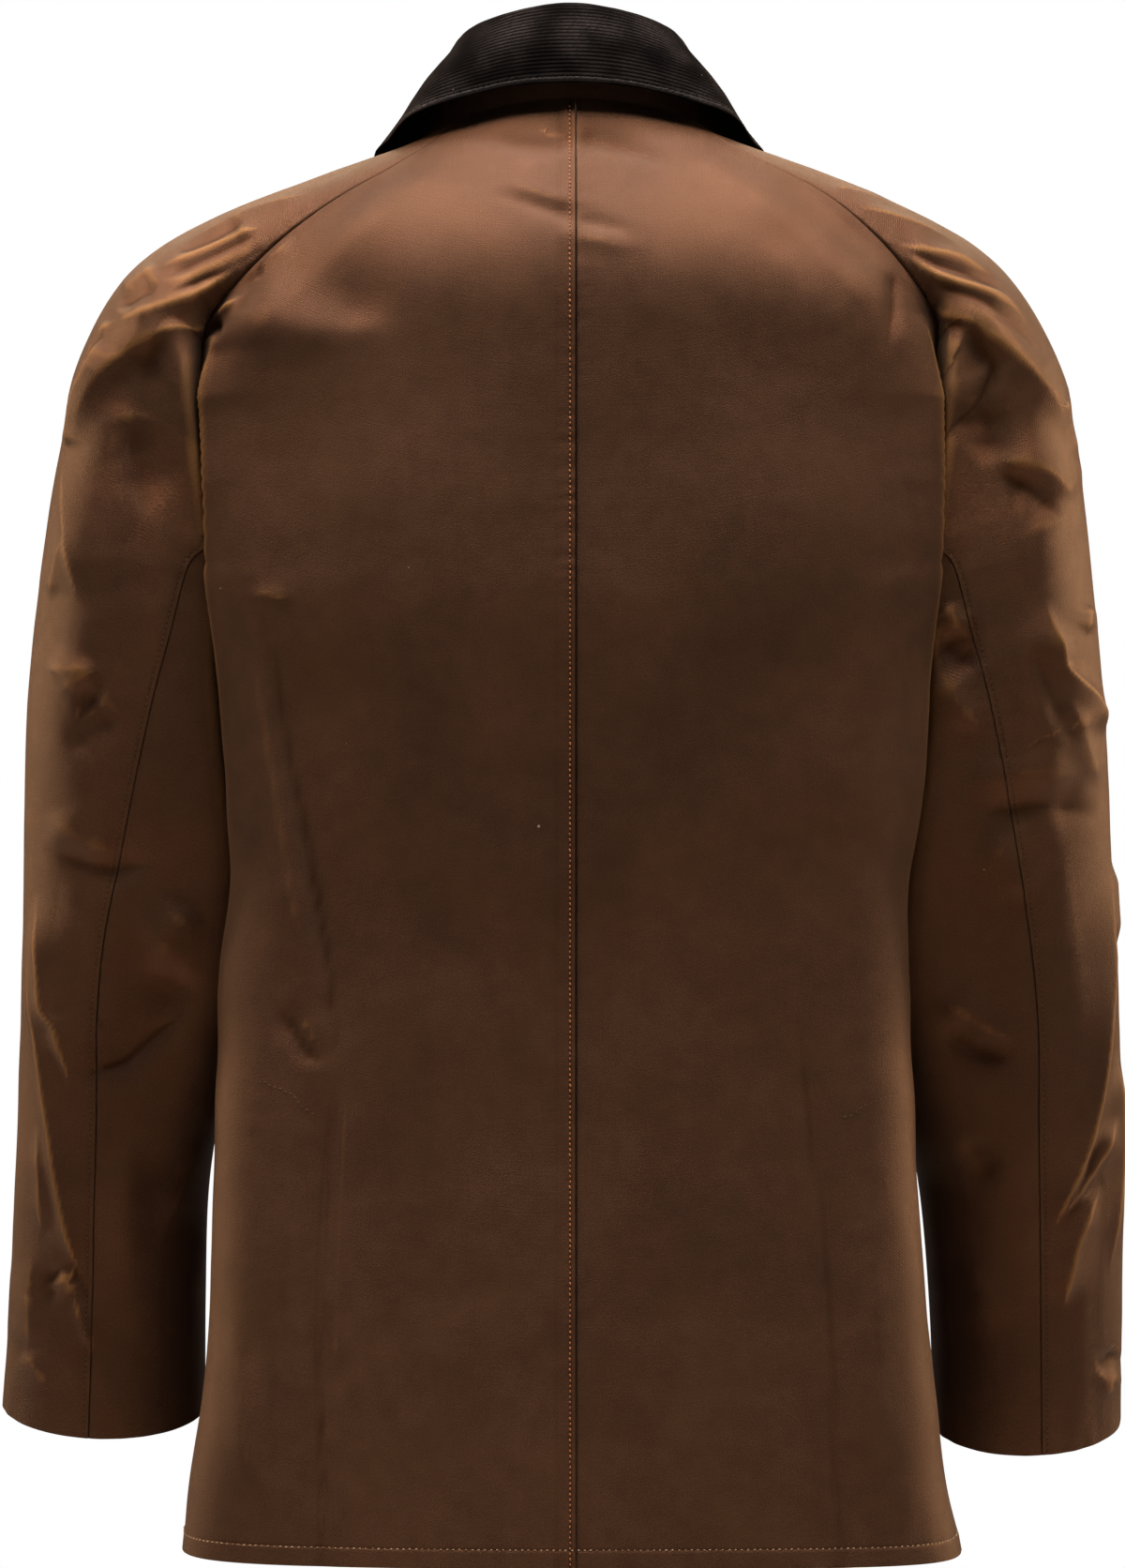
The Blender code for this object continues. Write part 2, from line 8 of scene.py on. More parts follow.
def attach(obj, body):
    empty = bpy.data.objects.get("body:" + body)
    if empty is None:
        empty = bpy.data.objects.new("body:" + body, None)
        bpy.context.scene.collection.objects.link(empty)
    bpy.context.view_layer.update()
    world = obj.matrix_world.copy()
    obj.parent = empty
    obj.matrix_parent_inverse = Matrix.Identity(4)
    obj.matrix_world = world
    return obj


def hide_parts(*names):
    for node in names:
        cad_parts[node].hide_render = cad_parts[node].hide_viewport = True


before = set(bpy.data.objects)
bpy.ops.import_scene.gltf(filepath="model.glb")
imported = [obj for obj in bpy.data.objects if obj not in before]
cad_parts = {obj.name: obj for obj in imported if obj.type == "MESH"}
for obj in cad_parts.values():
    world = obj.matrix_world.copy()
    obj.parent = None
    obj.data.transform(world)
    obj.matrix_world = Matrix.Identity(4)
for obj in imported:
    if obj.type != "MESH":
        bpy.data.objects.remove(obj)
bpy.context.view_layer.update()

# A waxed cotton raglan jacket, filled out and hollow. Every table is in millimetres, in the
# frame of the solids: +Z up from the nape, the front to -Y and the wearer's left to +X. Each
# cloth piece is a thin shell on the surface that the cut tables give, with its folds, laps,
# puckers and turned edges added. Its stitches are laid along lines of that surface.

MM = 0.001
SIDES = {"left": 1, "right": -1}

# ---------------------------------------------------------------- the cut

# Back panels: the centre back line, and the side edge that is first the raglan seam.
BACK = (
    # centre z, y,   left x,  z,  right x,  z,     y, turn
    (0, 62, 55, -8, 60, -8, 50, 38),
    (-26, 77, 88, -31, 94, -28, 60, 42),
    (-54, 91, 122, -51, 131, -47, 66, 48),
    (-84, 102, 149, -71, 158, -69, 68, 54),
    (-112, 110, 172, -93, 179, -93, 66, 62),
    (-138, 116, 190, -115, 193, -115, 56, 70),
    (-160, 120, 198, -137, 197, -137, 43, 76),
    (-182, 122, 198, -162, 197, -162, 30, 80),
    (-202, 124, 195.5, -186, 196, -186, 18, 83),
    (-220, 125, 193.5, -205, 194.5, -205, 9, 85),
    (-236, 125, 192, -222, 193.5, -222, 2, 87),
    (-250, 125, 190.8, -237, 192.5, -237, -3, 88),
    (-264, 125, 189.5, -250, 191.5, -250, -7, 90),
    (-292, 123, 185.5, -288, 189, -288, -3, 90),
    (-330, 119, 181, -328, 186, -328, 4, 90),
    (-370, 115, 176.5, -369, 181, -369, 9, 90),
    (-410, 112, 173.5, -410, 172.5, -410, 12, 90),
    (-450, 112, 178, -450, 171.5, -450, 13, 90),
    (-490, 115, 181, -490, 174, -490, 13, 90),
    (-525, 119, 185, -525, 179, -525, 12, 90),
    (-560, 124, 186.5, -560, 181, -560, 11, 90),
    (-600, 130, 188.2, -600, 184.5, -600, 10, 90),
    (-640, 135, 189.7, -640, 187.5, -640, 9, 90),
    (-680, 140, 193, -680, 192, -680, 8, 90),
    (-720, 144, 199.5, -720, 196, -720, 7, 90),
    (-759.5, 147, 203, -754, 204, -757, 6, 90),
)
# Front panels down to the underarm; below it they share the back panels' side edge.
FRONT = (
    # centre z, y,   edge x,   y,    z, turn
    (-75, -70, 58, -48, -52, 46),
    (-95, -83, 84, -65, -66, 48),
    (-116, -97, 110, -79, -82, 52),
    (-137, -110, 134, -87, -100, 57),
    (-158, -121, 155, -87, -120, 63),
    (-178, -129, 172, -79, -141, 70),
    (-197, -135, 184, -67, -164, 76),
    (-212, -139, 190, -54, -186, 80),
    (-226, -142, 192, -41, -205, 83),
    (-237, -144, 192.5, -31, -220, 85),
    (-247, -145, 192, -22, -232, 87),
    (-256, -146, 191, -14, -242, 88),
    (-264, -146, 189.5, -7, -250, 90),
)
FRONT_CENTRE = (  # depth of the centre front on the rows below the underarm
    -146, -145, -143, -141, -140, -141, -143, -145, -148, -150, -152, -154, -156)
# Sleeve cap: an arc from the back raglan seam over an outer point to the front one.
CAP = (
    # out x left,  z,  right,  z,  y,  back, front, back turn, front turn, seam
    (81, -18, 83, -18, 2, 55, 56, 60, 62, 56),
    (113, -27, 113, -25, -2, 67, 68, 66, 68, 61),
    (143, -38, 143, -36, -5, 74, 76, 73, 76, 68),
    (171, -48, 171, -47.5, -7, 76, 80, 82, 88, 77),
    (197, -59.5, 197, -59.5, -8, 76, 82, 97, 105, 92),
    (219, -71, 217, -71, -8, 76, 82, 120, 121, 115),
    (236, -86, 233, -86, -8, 76, 82, 138, 134, 133),
    (249.5, -105, 246.5, -105, -8, 76, 82, 150, 146, 145),
    (260, -129, 258.5, -129, -8, 76, 82, 160, 156, 155),
    (267, -155, 266, -155, -8, 76, 82, 167, 164, 149),
    (272.5, -181, 271, -181, -8, 76, 81, 172.5, 170, 139),
    (277, -205, 274.5, -205, -8, 76, 81, 177, 176, 130),
    (280.5, -229, 277, -229, -8, 76, 80, 180, 180, 123),
)
# Sleeve below the underarm: rings from an inner point, by the body, to an outer one.
ARM = (
    # in x left, right,  z,  out x left, right,  z,  mid y, back, front, tilt, seam
    (187, 190, -288, 284.5, 280.5, -262, -8, 75, 78, 0, 116),
    (182.5, 187, -320, 289.5, 284.5, -302, -9, 73, 76, 1, 107),
    (178.8, 183.2, -356, 291.5, 287.5, -346, -11, 70, 73, 2, 97),
    (175.5, 177, -393, 292, 289.5, -389, -14, 66, 70, 4, 87),
    (176.8, 172.5, -433, 292.5, 291, -433, -18, 62, 66, 6, 79),
    (181, 174.5, -477, 294.5, 294.5, -477, -23, 58, 62, 8, 77),
    (187, 180.5, -524, 296.5, 297, -524, -30, 54, 57, 9, 80),
    (194.5, 189, -576, 299, 298, -576, -36, 51, 53, 10, 83),
    (196.5, 194, -633, 302, 297.5, -632, -42, 48, 49, 14, 84),
    (197, 196.5, -694, 306.5, 297.5, -691, -46, 46, 46, 19, 84),
)
RIGHT_SLEEVE_EXTRA = 9.0           # the right cuff hangs this much lower
UNDERARM_ROW = 12                  # where the raglan seams end
BACK_SEAM_ROW = 8                  # where the sleeve's back seam leaves the raglan seam
VENT_ROW = 19                      # where the side vents open
# Collar, from the centre back round to the centre front: place along the neck seam, the roll
# line and the fall's outer edge.
COLLAR = (
    # place,  roll x,  y,  z,  edge x,   y,   z
    (0.0, 0, 49, 50, 0, 85, 10.5),
    (0.12, 26, 46, 46.5, 33, 82, 8),
    (0.26, 48, 34, 40, 63, 72, 1),
    (0.38, 58, 16, 32, 86, 52, -6),
    (0.5, 61, -6, 24, 99, 22, -16),
    (0.62, 60, -30, 9, 105, -12, -22.5),
    (0.74, 50, -52, -12, 100, -58, -38),
    (0.87, 31, -69, -33, 86, -92, -62),
    (1.0, 7, -80, -50, 66, -112, -86),
)
STAND_SHARE = 0.62                 # how far up to the roll line the stand reaches
STAND_BELOW_SEAM = 1.6             # the stand's lower edge, under the neck seam and inside it
STAND_INSIDE_SEAM = 0.8
ROLL_RADIUS = 4.6                  # the fall's bend over the stand, and how it sits there
ROLL_RISE = 2.0
ROLL_DROP = 2.5
FALL_BELLY = 2.0                   # how far the fall swells halfway down
FALL_WAVES = ((1.2, 41, 0.6), (0.8, 19, 1.9))  # rise, length and start of its soft waves
FALL_UNEVENNESS = (0.6, 30, 8)     # rise, spacing and seed
FALL_LOOSE = (18, 70)              # both set in between these distances across the fall
COLLAR_END = 3.0                   # the collar stops this far before the centre front
COLLAR_TUCK = 12.0                 # the fall lies this much closer to the neck behind
COLLAR_DROP = 2.2                  # and hangs this much lower there
COLLAR_EDGE_INSET = 3.2            # of its stitches
COLLAR_GROOVE = (0.35, 0.7)        # depth and width of their dip, and of the edge's roll
COLLAR_EDGE_ROLL = (0.6, 1.0)
COLLAR_NAP = (0.55, 1.3)           # strength and width of the fuzz beside them
COLLAR_TUCK_PLACES = (0.45, 0.15)  # places along the neck over which the tuck sets in
COLLAR_STATIONS = 133              # points round the whole collar
FALL_POINTS = 211                  # and across the fall and the stand
STAND_POINTS = 13
WALE_PITCH = 2.2
WALE_HEIGHT = 0.45
WALE_ROUNDNESS = 0.8               # 1 for a sine's crowns and less for fuller ones
WALE_EDGE = 1.2                    # the fall's edge has no wale this far in, but this level
WALE_EDGE_LEVEL = 0.9
WALE_RISE = (0.75, 0.5, 9, 9)      # even and uneven share, spacing and seed of their height
WALE_WEAR_AND_CROWN_LIGHT = (0.7, 0.8, 15, 10)     # and of how bright their painted crown light is, which follows the worn nap
FLY_HALF_WIDTH = 30.0
FLY_HEIGHTS = (-97.0, -716.0)
FLY_ROWS = 201                     # points down it and across it
FLY_COLUMNS = 41
FLY_STITCH_INSET = 6.0
FLY_UNEVENNESS = (0.35, 26, 12)    # rise, spacing and seed
FLY_STUD_HEIGHTS = (-150, -255, -360, -465, -570)
PANEL_CELLS = 7                    # cells of a front panel's solid, by which pockets are placed
POCKET_CELLS = (2.0, 5.9)
POCKET_HEIGHTS = (-545, -722)
FLAP_CELLS = (1.8, 6.2)
FLAP_HEIGHTS = (-508, -577)
FLAP_RISE = (22.0, 34.0)           # between these distances below its seam it rises off the front
FLAP_STUD_RISE = 15.4              # of its stud above the flap's lower edge
PATCH_STITCH_INSET = 3.0
PATCH_COLUMNS = 61                 # points across a pocket or a flap, and down each
POCKET_ROWS = 91
FLAP_ROWS = 61
PATCH_MILLIMETRE = 1.0 / 190       # a millimetre across the front, as a share of its width
PATCH_UNEVENNESS = (0.45, 30, 14)  # rise, spacing and seed
STUD_RADIUS = 7.0
STUD_LIFT = 0.6
STUD_SIDES = 32
STUD_PROFILE = (  # share of the radius, height
    (1.0, 0.0), (1.0, 0.9), (0.96, 1.5), (0.86, 1.8), (0.78, 1.55), (0.74, 1.6), (0.66, 2.2),
    (0.45, 2.75), (0.2, 2.95), (0.0, 3.0))
UNDERLAP = 22.0                    # of the fronts under the back at the vents
UNDERLAP_SINK = 14.0               # and the width over which they sink under it
TACK_POINTS = 16                   # points along a tack
# The slanted tacks that hold the vents' tops, in the back view.
TACKS = {"left": ((160, -512), (146, -517), (133, -528)),
         "right": ((-142, -530), (-153, -524), (-169, -518))}

# ---------------------------------------------------------------- cloth and sewing

CLOTH = 1.3                        # thickness of the waxed cotton shells
CORDUROY = 2.0
SOLID_CLOTH = 2.0                  # wall of the solids, by which layers are stacked
LAYER_GAP = 0.3
SQUARENESS = 1.8                   # of the back below the blades; 0 is an ellipse
SQUARE_ROWS = (2, 12)              # the rows over which it sets in
HEM_SQUARENESS = 2.2               # added to it from the vents down
HEM_SQUARE_ROWS = (13, 21)
SLEEVE_SQUARENESS = 12.0           # of a sleeve where it lies behind the body's side fold
SLEEVE_SQUARE_TURNS = (132, 178)   # it sets in with the cap's turn
SLEEVE_SQUARE_TILTS = (10, 5)      # and goes where the sleeve tilts forward
SLEEVE_LEAN = 8.0                  # how far a sleeve leans to the body beside the side fold
SLEEVE_LEAN_HEIGHTS = (-98, -138, -240, -330)  # where it sets in, is full, fades and ends
FULLNESS = (                       # of the back: rise, height and spread
    (13.0, -86, 52),               # over the shoulder blades
    (6.0, -410, 100),              # over the waist
)
SIDE_FOLD_DEPTH = 70.0             # y of the crest of the back's side fold
SIDE_FOLD_STRETCH = 1.05           # length of the cloth out to it over that depth
SIDE_FOLD_WIDTHS = (24.0, 8.0)     # towards the centre back and towards the side seam
SIDE_FOLD_SHARP = (1.4, 1.2)
SIDE_FOLD_HEIGHTS = (              # z of its crest and the height there
    (-540, 0), (-470, 3.5), (-400, 1.5), (-340, 4.5), (-270, 8), (-200, 13), (-155, 13), (-112, 0))
BACK_SEAM_SHIFT = -2.5             # the centre back seam lies this far to the wearer's right
BODY_ROW_CELLS = 12                # rows of the shells between two rows of the cut
CAP_ROW_CELLS = 14
ARM_ROW_CELLS = 22
BACK_SHARES = np.linspace(0, 1, 81)          # plain columns across each panel
FRONT_SHARES = np.linspace(0, 1, 49)
TOP_SHARES = np.concatenate((np.linspace(0, 0.58, 81), np.linspace(0.58, 1, 33)[1:]))
UNDER_SHARES = np.linspace(0, 1, 27)
UNDERLAP_CELLS = 8
# Distances from a sewn edge at which a shell always has points: they carry the turned edge,
# the lap and the stitched groove.
EDGE_STEPS = (0.0, 0.35, 0.9, 1.6, 2.1, 2.6, 3.1, 3.8, 5.2, 7.0, 9.0)
HEM_DEPTH = 10.0                   # turned hem, with its stitches this far up
HEM_STEPS = (0.0, 0.4, 1.1, 2.2, 4.0, 6.0, 8.0, 9.0, 9.6, 10.0, 10.4, 11.0, 12.2, 14.0)
SEAM_ROOM = 9.0                    # the body's folds die out this close to a sewn edge
CENTRE_SEAM_ROOM = 7.0             # and shrink to this share on the centre back seam
CENTRE_SEAM_SHARE = 0.35
FULLNESS_ROOM = 50.0               # the back's fullness dies out this close to its side edge
NECK_ROOM = 14.0                   # all folds this close to the neck seam
SLEEVE_SEAM_ROOM = 20.0            # and the sleeves' this close to a seam
SLEEVE_BACK_TURNS = (-20, -3)      # turns from the outer point over which a sleeve's back folds
SLEEVE_FRONT_TURNS = (6, 24)       # set in, and forward of it its front folds
BACK_UNEVENNESS = (                # rise, spacing, seed and room beside a seam
    (0.9, 62, 1, 12),
    (0.24, 24, 2, 8),
)
FRONT_UNEVENNESS = (0.6, 65, 3, 12)
BESIDE_FLY = (26, 40)              # the front's folds set in beside the storm fly
UNDER_FLY = (8, 40)                # and its unevenness under it
SLEEVE_UNEVENNESS = ((0.4, 48, 4), (0.15, 19, 6))
PUCKERS = {
    # beside: rise, pitch, reach, seed
    "centre seam": (0.20, 9, 7, 1.0),
    "back hem": (0.26, 11, 9, 3.0),
    "front hem": (0.26, 11, 9, 5.0),
    "raglan seam": (0.34, 7.5, 8, 2.0),
    "sleeve seam": (0.15, 9, 7, 4.0),
    "cuff": (0.30, 16, 10, 6.0),
}
FAR = 99.0                         # past the reach of any seam
SEAM_LAP = (0.75, 7.0)             # rise and width of the lapped centre seam
LAP_EDGE = (1.2, 1.6)              # a lap's edge falls from so far in to so far out
UNDER_SEAM_ROLL = 1.8              # how much more the panel under it turns in
HEM_RISE = 0.35
VENT_LAP = (0.35, 6.0)
TOP_SEAM_RISE = 0.25               # of the upper sleeve over the under sleeve
TOP_SEAM_SPREAD = 9.0
PATCH_STEPS = (0.0, 0.3, 0.7, 1.3, 2.0, 2.6, 3.0, 3.4, 4.2, 5.4)  # the same for patches
EDGE_ROLL = (0.8, 1.5)             # how far a sewn edge turns in, over what width
GROOVE = (0.28, 0.75)              # depth and width of the cloth's dip under a row of stitches
STITCH_INSET = 2.6                 # of a row of stitches from the edge that it holds
VENT_STITCH_INSET = 3.1
CREST_GAIN = 2.4                   # how soon a bend counts as a sharp crest
RUB_AND_HIGHLIGHT_FREE_SEAM = 8.0                # crests get neither rubbed wax nor painted highlight this close to a seam
RUB_AND_HIGHLIGHT_FREE_HEM = 14.0
LINT_FREE_SHARE = 0.93             # of the spots where lint might lie
STITCH_ROWS = {
    # place: pitch, length, thread radius, unevenness, slant, seed
    "back_seam": (2.75, 1.75, 0.50, 0.12, 0.34, 3),
    "hem": (3.2, 1.5, 0.34, 0.2, 0.3, 5),
    "vent": (3.0, 1.6, 0.34, 0.12, 0.15, 7),
    "sleeve": (3.0, 2.0, 0.22, 0.12, 0.15, 9),
    "collar": (3.2, 2.2, 0.25, 0.12, 0.15, 11),
    "front": (3.0, 2.0, 0.24, 0.12, 0.15, 13),
}
FRONT_FOLD_SCALE = 0.985           # the right sleeve's front folds beside the left's
FRONT_FOLD_DROP = 14
EASING = (                         # steps along a table of rows and their weights
    (-1.2, 0.14), (-0.8, 0.41), (-0.4, 0.80), (0.0, 1.0), (0.4, 0.80), (0.8, 0.41), (1.2, 0.14))


def smooth(low, high, value):
    """0 below low, 1 above high and an even curve between."""
    share = np.clip((np.asarray(value, float) - low) / (high - low), 0, 1)
    return share * share * (3 - 2 * share)


def spline(rows, places):
    """Rows at places between rows, on a smooth curve through them all."""
    rows = np.asarray(rows, float)
    places = np.atleast_1d(np.asarray(places, float))
    first = np.clip(np.floor(places).astype(int), 0, len(rows) - 2)
    f = (places - first)[:, None]
    padded = np.vstack((2 * rows[0] - rows[1], rows, 2 * rows[-1] - rows[-2]))
    before, a, b, after = (padded[first + i] for i in range(4))
    return 0.5 * (2 * a + (b - before) * f + (2 * before - 5 * a + 4 * b - after) * f * f
                  + (3 * a - before - 3 * b + after) * f ** 3)


def eased(rows, places):
    """The same curve evened out over about a row each way, exact at both ends."""
    places = np.atleast_1d(np.asarray(places, float))
    room = np.minimum(1, np.minimum(places, len(rows) - 1 - places) / EASING[-1][0])
    total = sum(share * spline(rows, places + step * room) for step, share in EASING)
    return total / sum(share for _, share in EASING)


def evenly(line, count, inset=0):
    """Points spaced evenly along a fine line, from inset to inset before its end."""
    steps = np.linalg.norm(np.diff(line, axis=0), axis=1)
    length = np.concatenate(([0.0], np.cumsum(steps)))
    wanted = np.linspace(inset, length[-1] - inset, count)
    return np.stack([np.interp(wanted, length, line[:, i]) for i in range(line.shape[1])], axis=1)


def even_spline(points, count):
    """Points spaced evenly along a smooth curve through the given ones."""
    return evenly(spline(points, np.linspace(0, len(points) - 1, 24 * len(points))), count)


def section(centre_y, centre_z, edge, turn, shares):
    """Points of body sections: share 0 on the centre line and 1 on the side edge."""
    centre_y, centre_z, turn = (a[:, None] for a in (centre_y, centre_z, turn))
    x, y, z = (edge[:, i][:, None] for i in range(3))
    end = np.radians(turn)
    across = np.sin(end * shares) / np.sin(end)
    inward = (np.cos(end * shares) - np.cos(end)) / (1 - np.cos(end))
    return np.stack((x * across, y + (centre_y - y) * inward,
                     centre_z + (z - centre_z) * across ** 2), axis=-1)


def squarer(share, squareness):
    """How far a point of a rounded quarter moves out for a squarer one; 1 at both its ends."""
    corner = 2 + squareness
    turn = np.radians(90 * share)
    return (np.cos(turn) ** corner + np.sin(turn) ** corner) ** (-1 / corner)


def back_lines(side, rows):
    """Centre depth and height, side edge and turn of a back panel at rows of its table."""
    numbers = spline(BACK, rows)
    at = 2 if side == "left" else 4
    edge = np.stack((numbers[:, at] * SIDES[side], numbers[:, 6], numbers[:, at + 1]), axis=1)
    centre = eased([row[:2] for row in BACK], rows)
    return centre[:, 1], centre[:, 0], edge, numbers[:, 7]


def front_lines(side, rows):
    """The same for a front panel, which follows the back's side edge below the underarm."""
    _, _, edges, turns = back_lines(side, np.arange(len(BACK)))
    reach = abs(edges[UNDERARM_ROW][0]) / FRONT[-1][2]
    table = []
    for i, (z, y, x, edge_y, edge_z, turn) in enumerate(FRONT):
        grown = x * (1 + (reach - 1) * i / UNDERARM_ROW)
        table.append((y, z, grown * SIDES[side], edge_y, edge_z, turn))
    for i, depth in enumerate(FRONT_CENTRE, UNDERARM_ROW + 1):
        table.append((depth, BACK[i][0], *edges[i], turns[i]))
    numbers = spline(table, rows)
    return numbers[:, 0], numbers[:, 1], numbers[:, 2:5], numbers[:, 5]


def crowded(start, finish, points, shares):
    """For each row, places from start to finish, crowded at both ends by EDGE_STEPS.

    points gives the surface's points at a grid of places, from which distances are taken.
    """
    span = (finish - start)[:, None]
    start, finish = start[:, None], finish[:, None]
    probe = points(np.concatenate((start, start + span * 1e-3, finish - span * 1e-3, finish), 1))
    start_speed = np.linalg.norm(probe[:, 1] - probe[:, 0], axis=1)[:, None] * 1e3
    end_speed = np.linalg.norm(probe[:, 3] - probe[:, 2], axis=1)[:, None] * 1e3
    steps = np.array(EDGE_STEPS)[None]
    tight = np.minimum(1, 0.42 * np.minimum(start_speed, end_speed) / steps[0, -1])
    near = start + span * steps * tight / start_speed
    far = finish - span * steps[:, ::-1] * tight / end_speed
    middle = near[:, -1:] + (far[:, :1] - near[:, -1:]) * shares[None, 1:-1]
    return np.concatenate((near, middle, far), axis=1)


def odd_rows(even, steps, last_height):
    """Row places with extra ones at HEM_STEPS above the last; their number comes out odd."""
    hem = even[-1] - np.array(steps[::-1]) / last_height
    plain = even[even < hem[0] - 0.03]
    if (len(plain) + len(hem)) % 2 == 0:
        plain = plain[:-1]
    return np.concatenate((plain, hem))


def body_rows():
    """Row places of the body's shells, along the rows of the cut."""
    last = len(BACK) - 1
    return odd_rows(np.linspace(0, last, last * BODY_ROW_CELLS + 1), HEM_STEPS,
                    BACK[-2][0] - BACK[-1][0])


def sleeve_rows():
    """Row places of the sleeves' shells."""
    last = UNDERARM_ROW + len(ARM)
    cap = np.linspace(0, UNDERARM_ROW, UNDERARM_ROW * CAP_ROW_CELLS + 1)
    arm = np.linspace(UNDERARM_ROW, last, len(ARM) * ARM_ROW_CELLS + 1)[1:]
    return odd_rows(np.concatenate((cap, arm)), HEM_STEPS, ARM[-2][2] - ARM[-1][2])


def sleeve_lines(side, rows):
    """Both ends of the sleeve's sections and the numbers that draw them."""
    sign = SIDES[side]
    left = side == "left"
    _, _, back_ends, _ = back_lines(side, rows)
    _, _, front_ends, _ = front_lines(side, rows)
    _, _, known, _ = back_lines(side, np.arange(UNDERARM_ROW + 1))
    inner = [tuple(edge) for edge in known]
    table = []
    for x_left, z_left, x_right, z_right, y, back, front, back_turn, front_turn, seam in CAP:
        x, z = (x_left, z_left) if left else (x_right, z_right)
        table.append((x * sign, y, z, back, front, back_turn, front_turn, 0.0, seam))
    for i, (in_l, in_r, in_z, out_l, out_r, out_z, y, back, front, tilt, seam) in enumerate(ARM, 1):
        drop = 0.0 if left else RIGHT_SLEEVE_EXTRA * i / len(ARM)
        inner.append(((in_l if left else in_r) * sign, y, in_z - drop))
        table.append(((out_l if left else out_r) * sign, y, out_z - drop,
                      back, front, 180.0, 180.0, tilt, seam))
    numbers = eased(table, rows)
    numbers[:, 5:7] = np.minimum(spline(table, rows)[:, 5:7], 180)
    seams = [table[BACK_SEAM_ROW][5:6]] + [row[8:9] for row in table[BACK_SEAM_ROW + 1:]]
    below_start = spline(seams, np.maximum(rows - BACK_SEAM_ROW, 0))[:, 0]
    numbers[:, 8] = np.where(rows > BACK_SEAM_ROW, below_start, numbers[:, 5])
    below = (rows > UNDERARM_ROW)[:, None]
    inner = spline(inner, rows)
    return np.where(below, inner, back_ends), np.where(below, inner, front_ends), numbers


def sleeve_points(lines, angles):
    """Points of sleeve sections: angle 0 is the outer point, positive goes to the back."""
    back_end, front_end, numbers = lines
    outer = numbers[:, None, :3]
    back, front, back_turn, front_turn, tilt = (numbers[:, i][:, None] for i in range(3, 8))
    behind = angles >= 0
    end = np.where(behind[..., None], back_end[:, None], front_end[:, None])
    depth = np.where(behind, back, -front)
    turn = np.where(behind, back_turn, front_turn)
    cosine = np.cos(np.radians(turn))[..., None]
    middle = (end - outer * cosine) / (1 - cosine)
    middle[..., 1] = outer[..., 1]
    out = np.radians(np.abs(angles))
    inward = np.clip((angles - 90) / np.maximum(back_turn - 90, 1), 0, 1)
    reach = squarer(inward, SLEEVE_SQUARENESS * smooth(*SLEEVE_SQUARE_TURNS, back_turn)
                    * smooth(*SLEEVE_SQUARE_TILTS, tilt))
    points = middle + (outer - middle) * (np.cos(out) * reach)[..., None]
    away = depth * np.sin(out) * reach
    miss = end[..., 1] - outer[..., 1] - depth * np.sin(np.radians(turn))
    points[..., 1] += away * np.cos(np.radians(tilt)) + miss * (np.abs(angles) / turn) ** 2
    points[..., 2] -= away * np.sin(np.radians(tilt))
    high, full, fading, low = SLEEVE_LEAN_HEIGHTS
    beside = smooth(high, full, points[..., 2]) * smooth(low, fading, points[..., 2])
    lean = 6.75 * inward ** 2 * (1 - inward) * beside  # 1 two thirds of the way in
    points[..., 0] += SLEEVE_LEAN * lean * np.sign(end[..., 0] - outer[..., 0])
    return points


def normals_of(grid, outward):
    """Unit normals of a grid of points; outward is 1 or -1 and picks the side they face."""
    normals = np.cross(np.gradient(grid, axis=0), np.gradient(grid, axis=1)) * outward
    return normals / np.maximum(np.linalg.norm(normals, axis=2, keepdims=True), 1e-9)


def raised(grid, outward, height):
    """A surface moved out by its own height at each point."""
    return grid + normals_of(grid, outward) * height[..., None]


def facing(part):
    """1 where a surface faces a way, by its normal's part that way, and 0 where it faces off."""
    return smooth(-0.1, 0.3, part)


def lengths_along(grid, axis):
    """Distance of each point from the first along its row (axis 1) or column (axis 0)."""
    steps = np.linalg.norm(np.diff(grid, axis=axis), axis=2)
    start = np.zeros_like(np.take(steps, [0], axis))
    return np.concatenate((start, np.cumsum(steps, axis)), axis)


def edge_distances(grid):
    """Distances from both ends of each row, then from both ends of each column."""
    across, down = lengths_along(grid, 1), lengths_along(grid, 0)
    return across, across[:, -1:] - across, down, down[-1:] - down


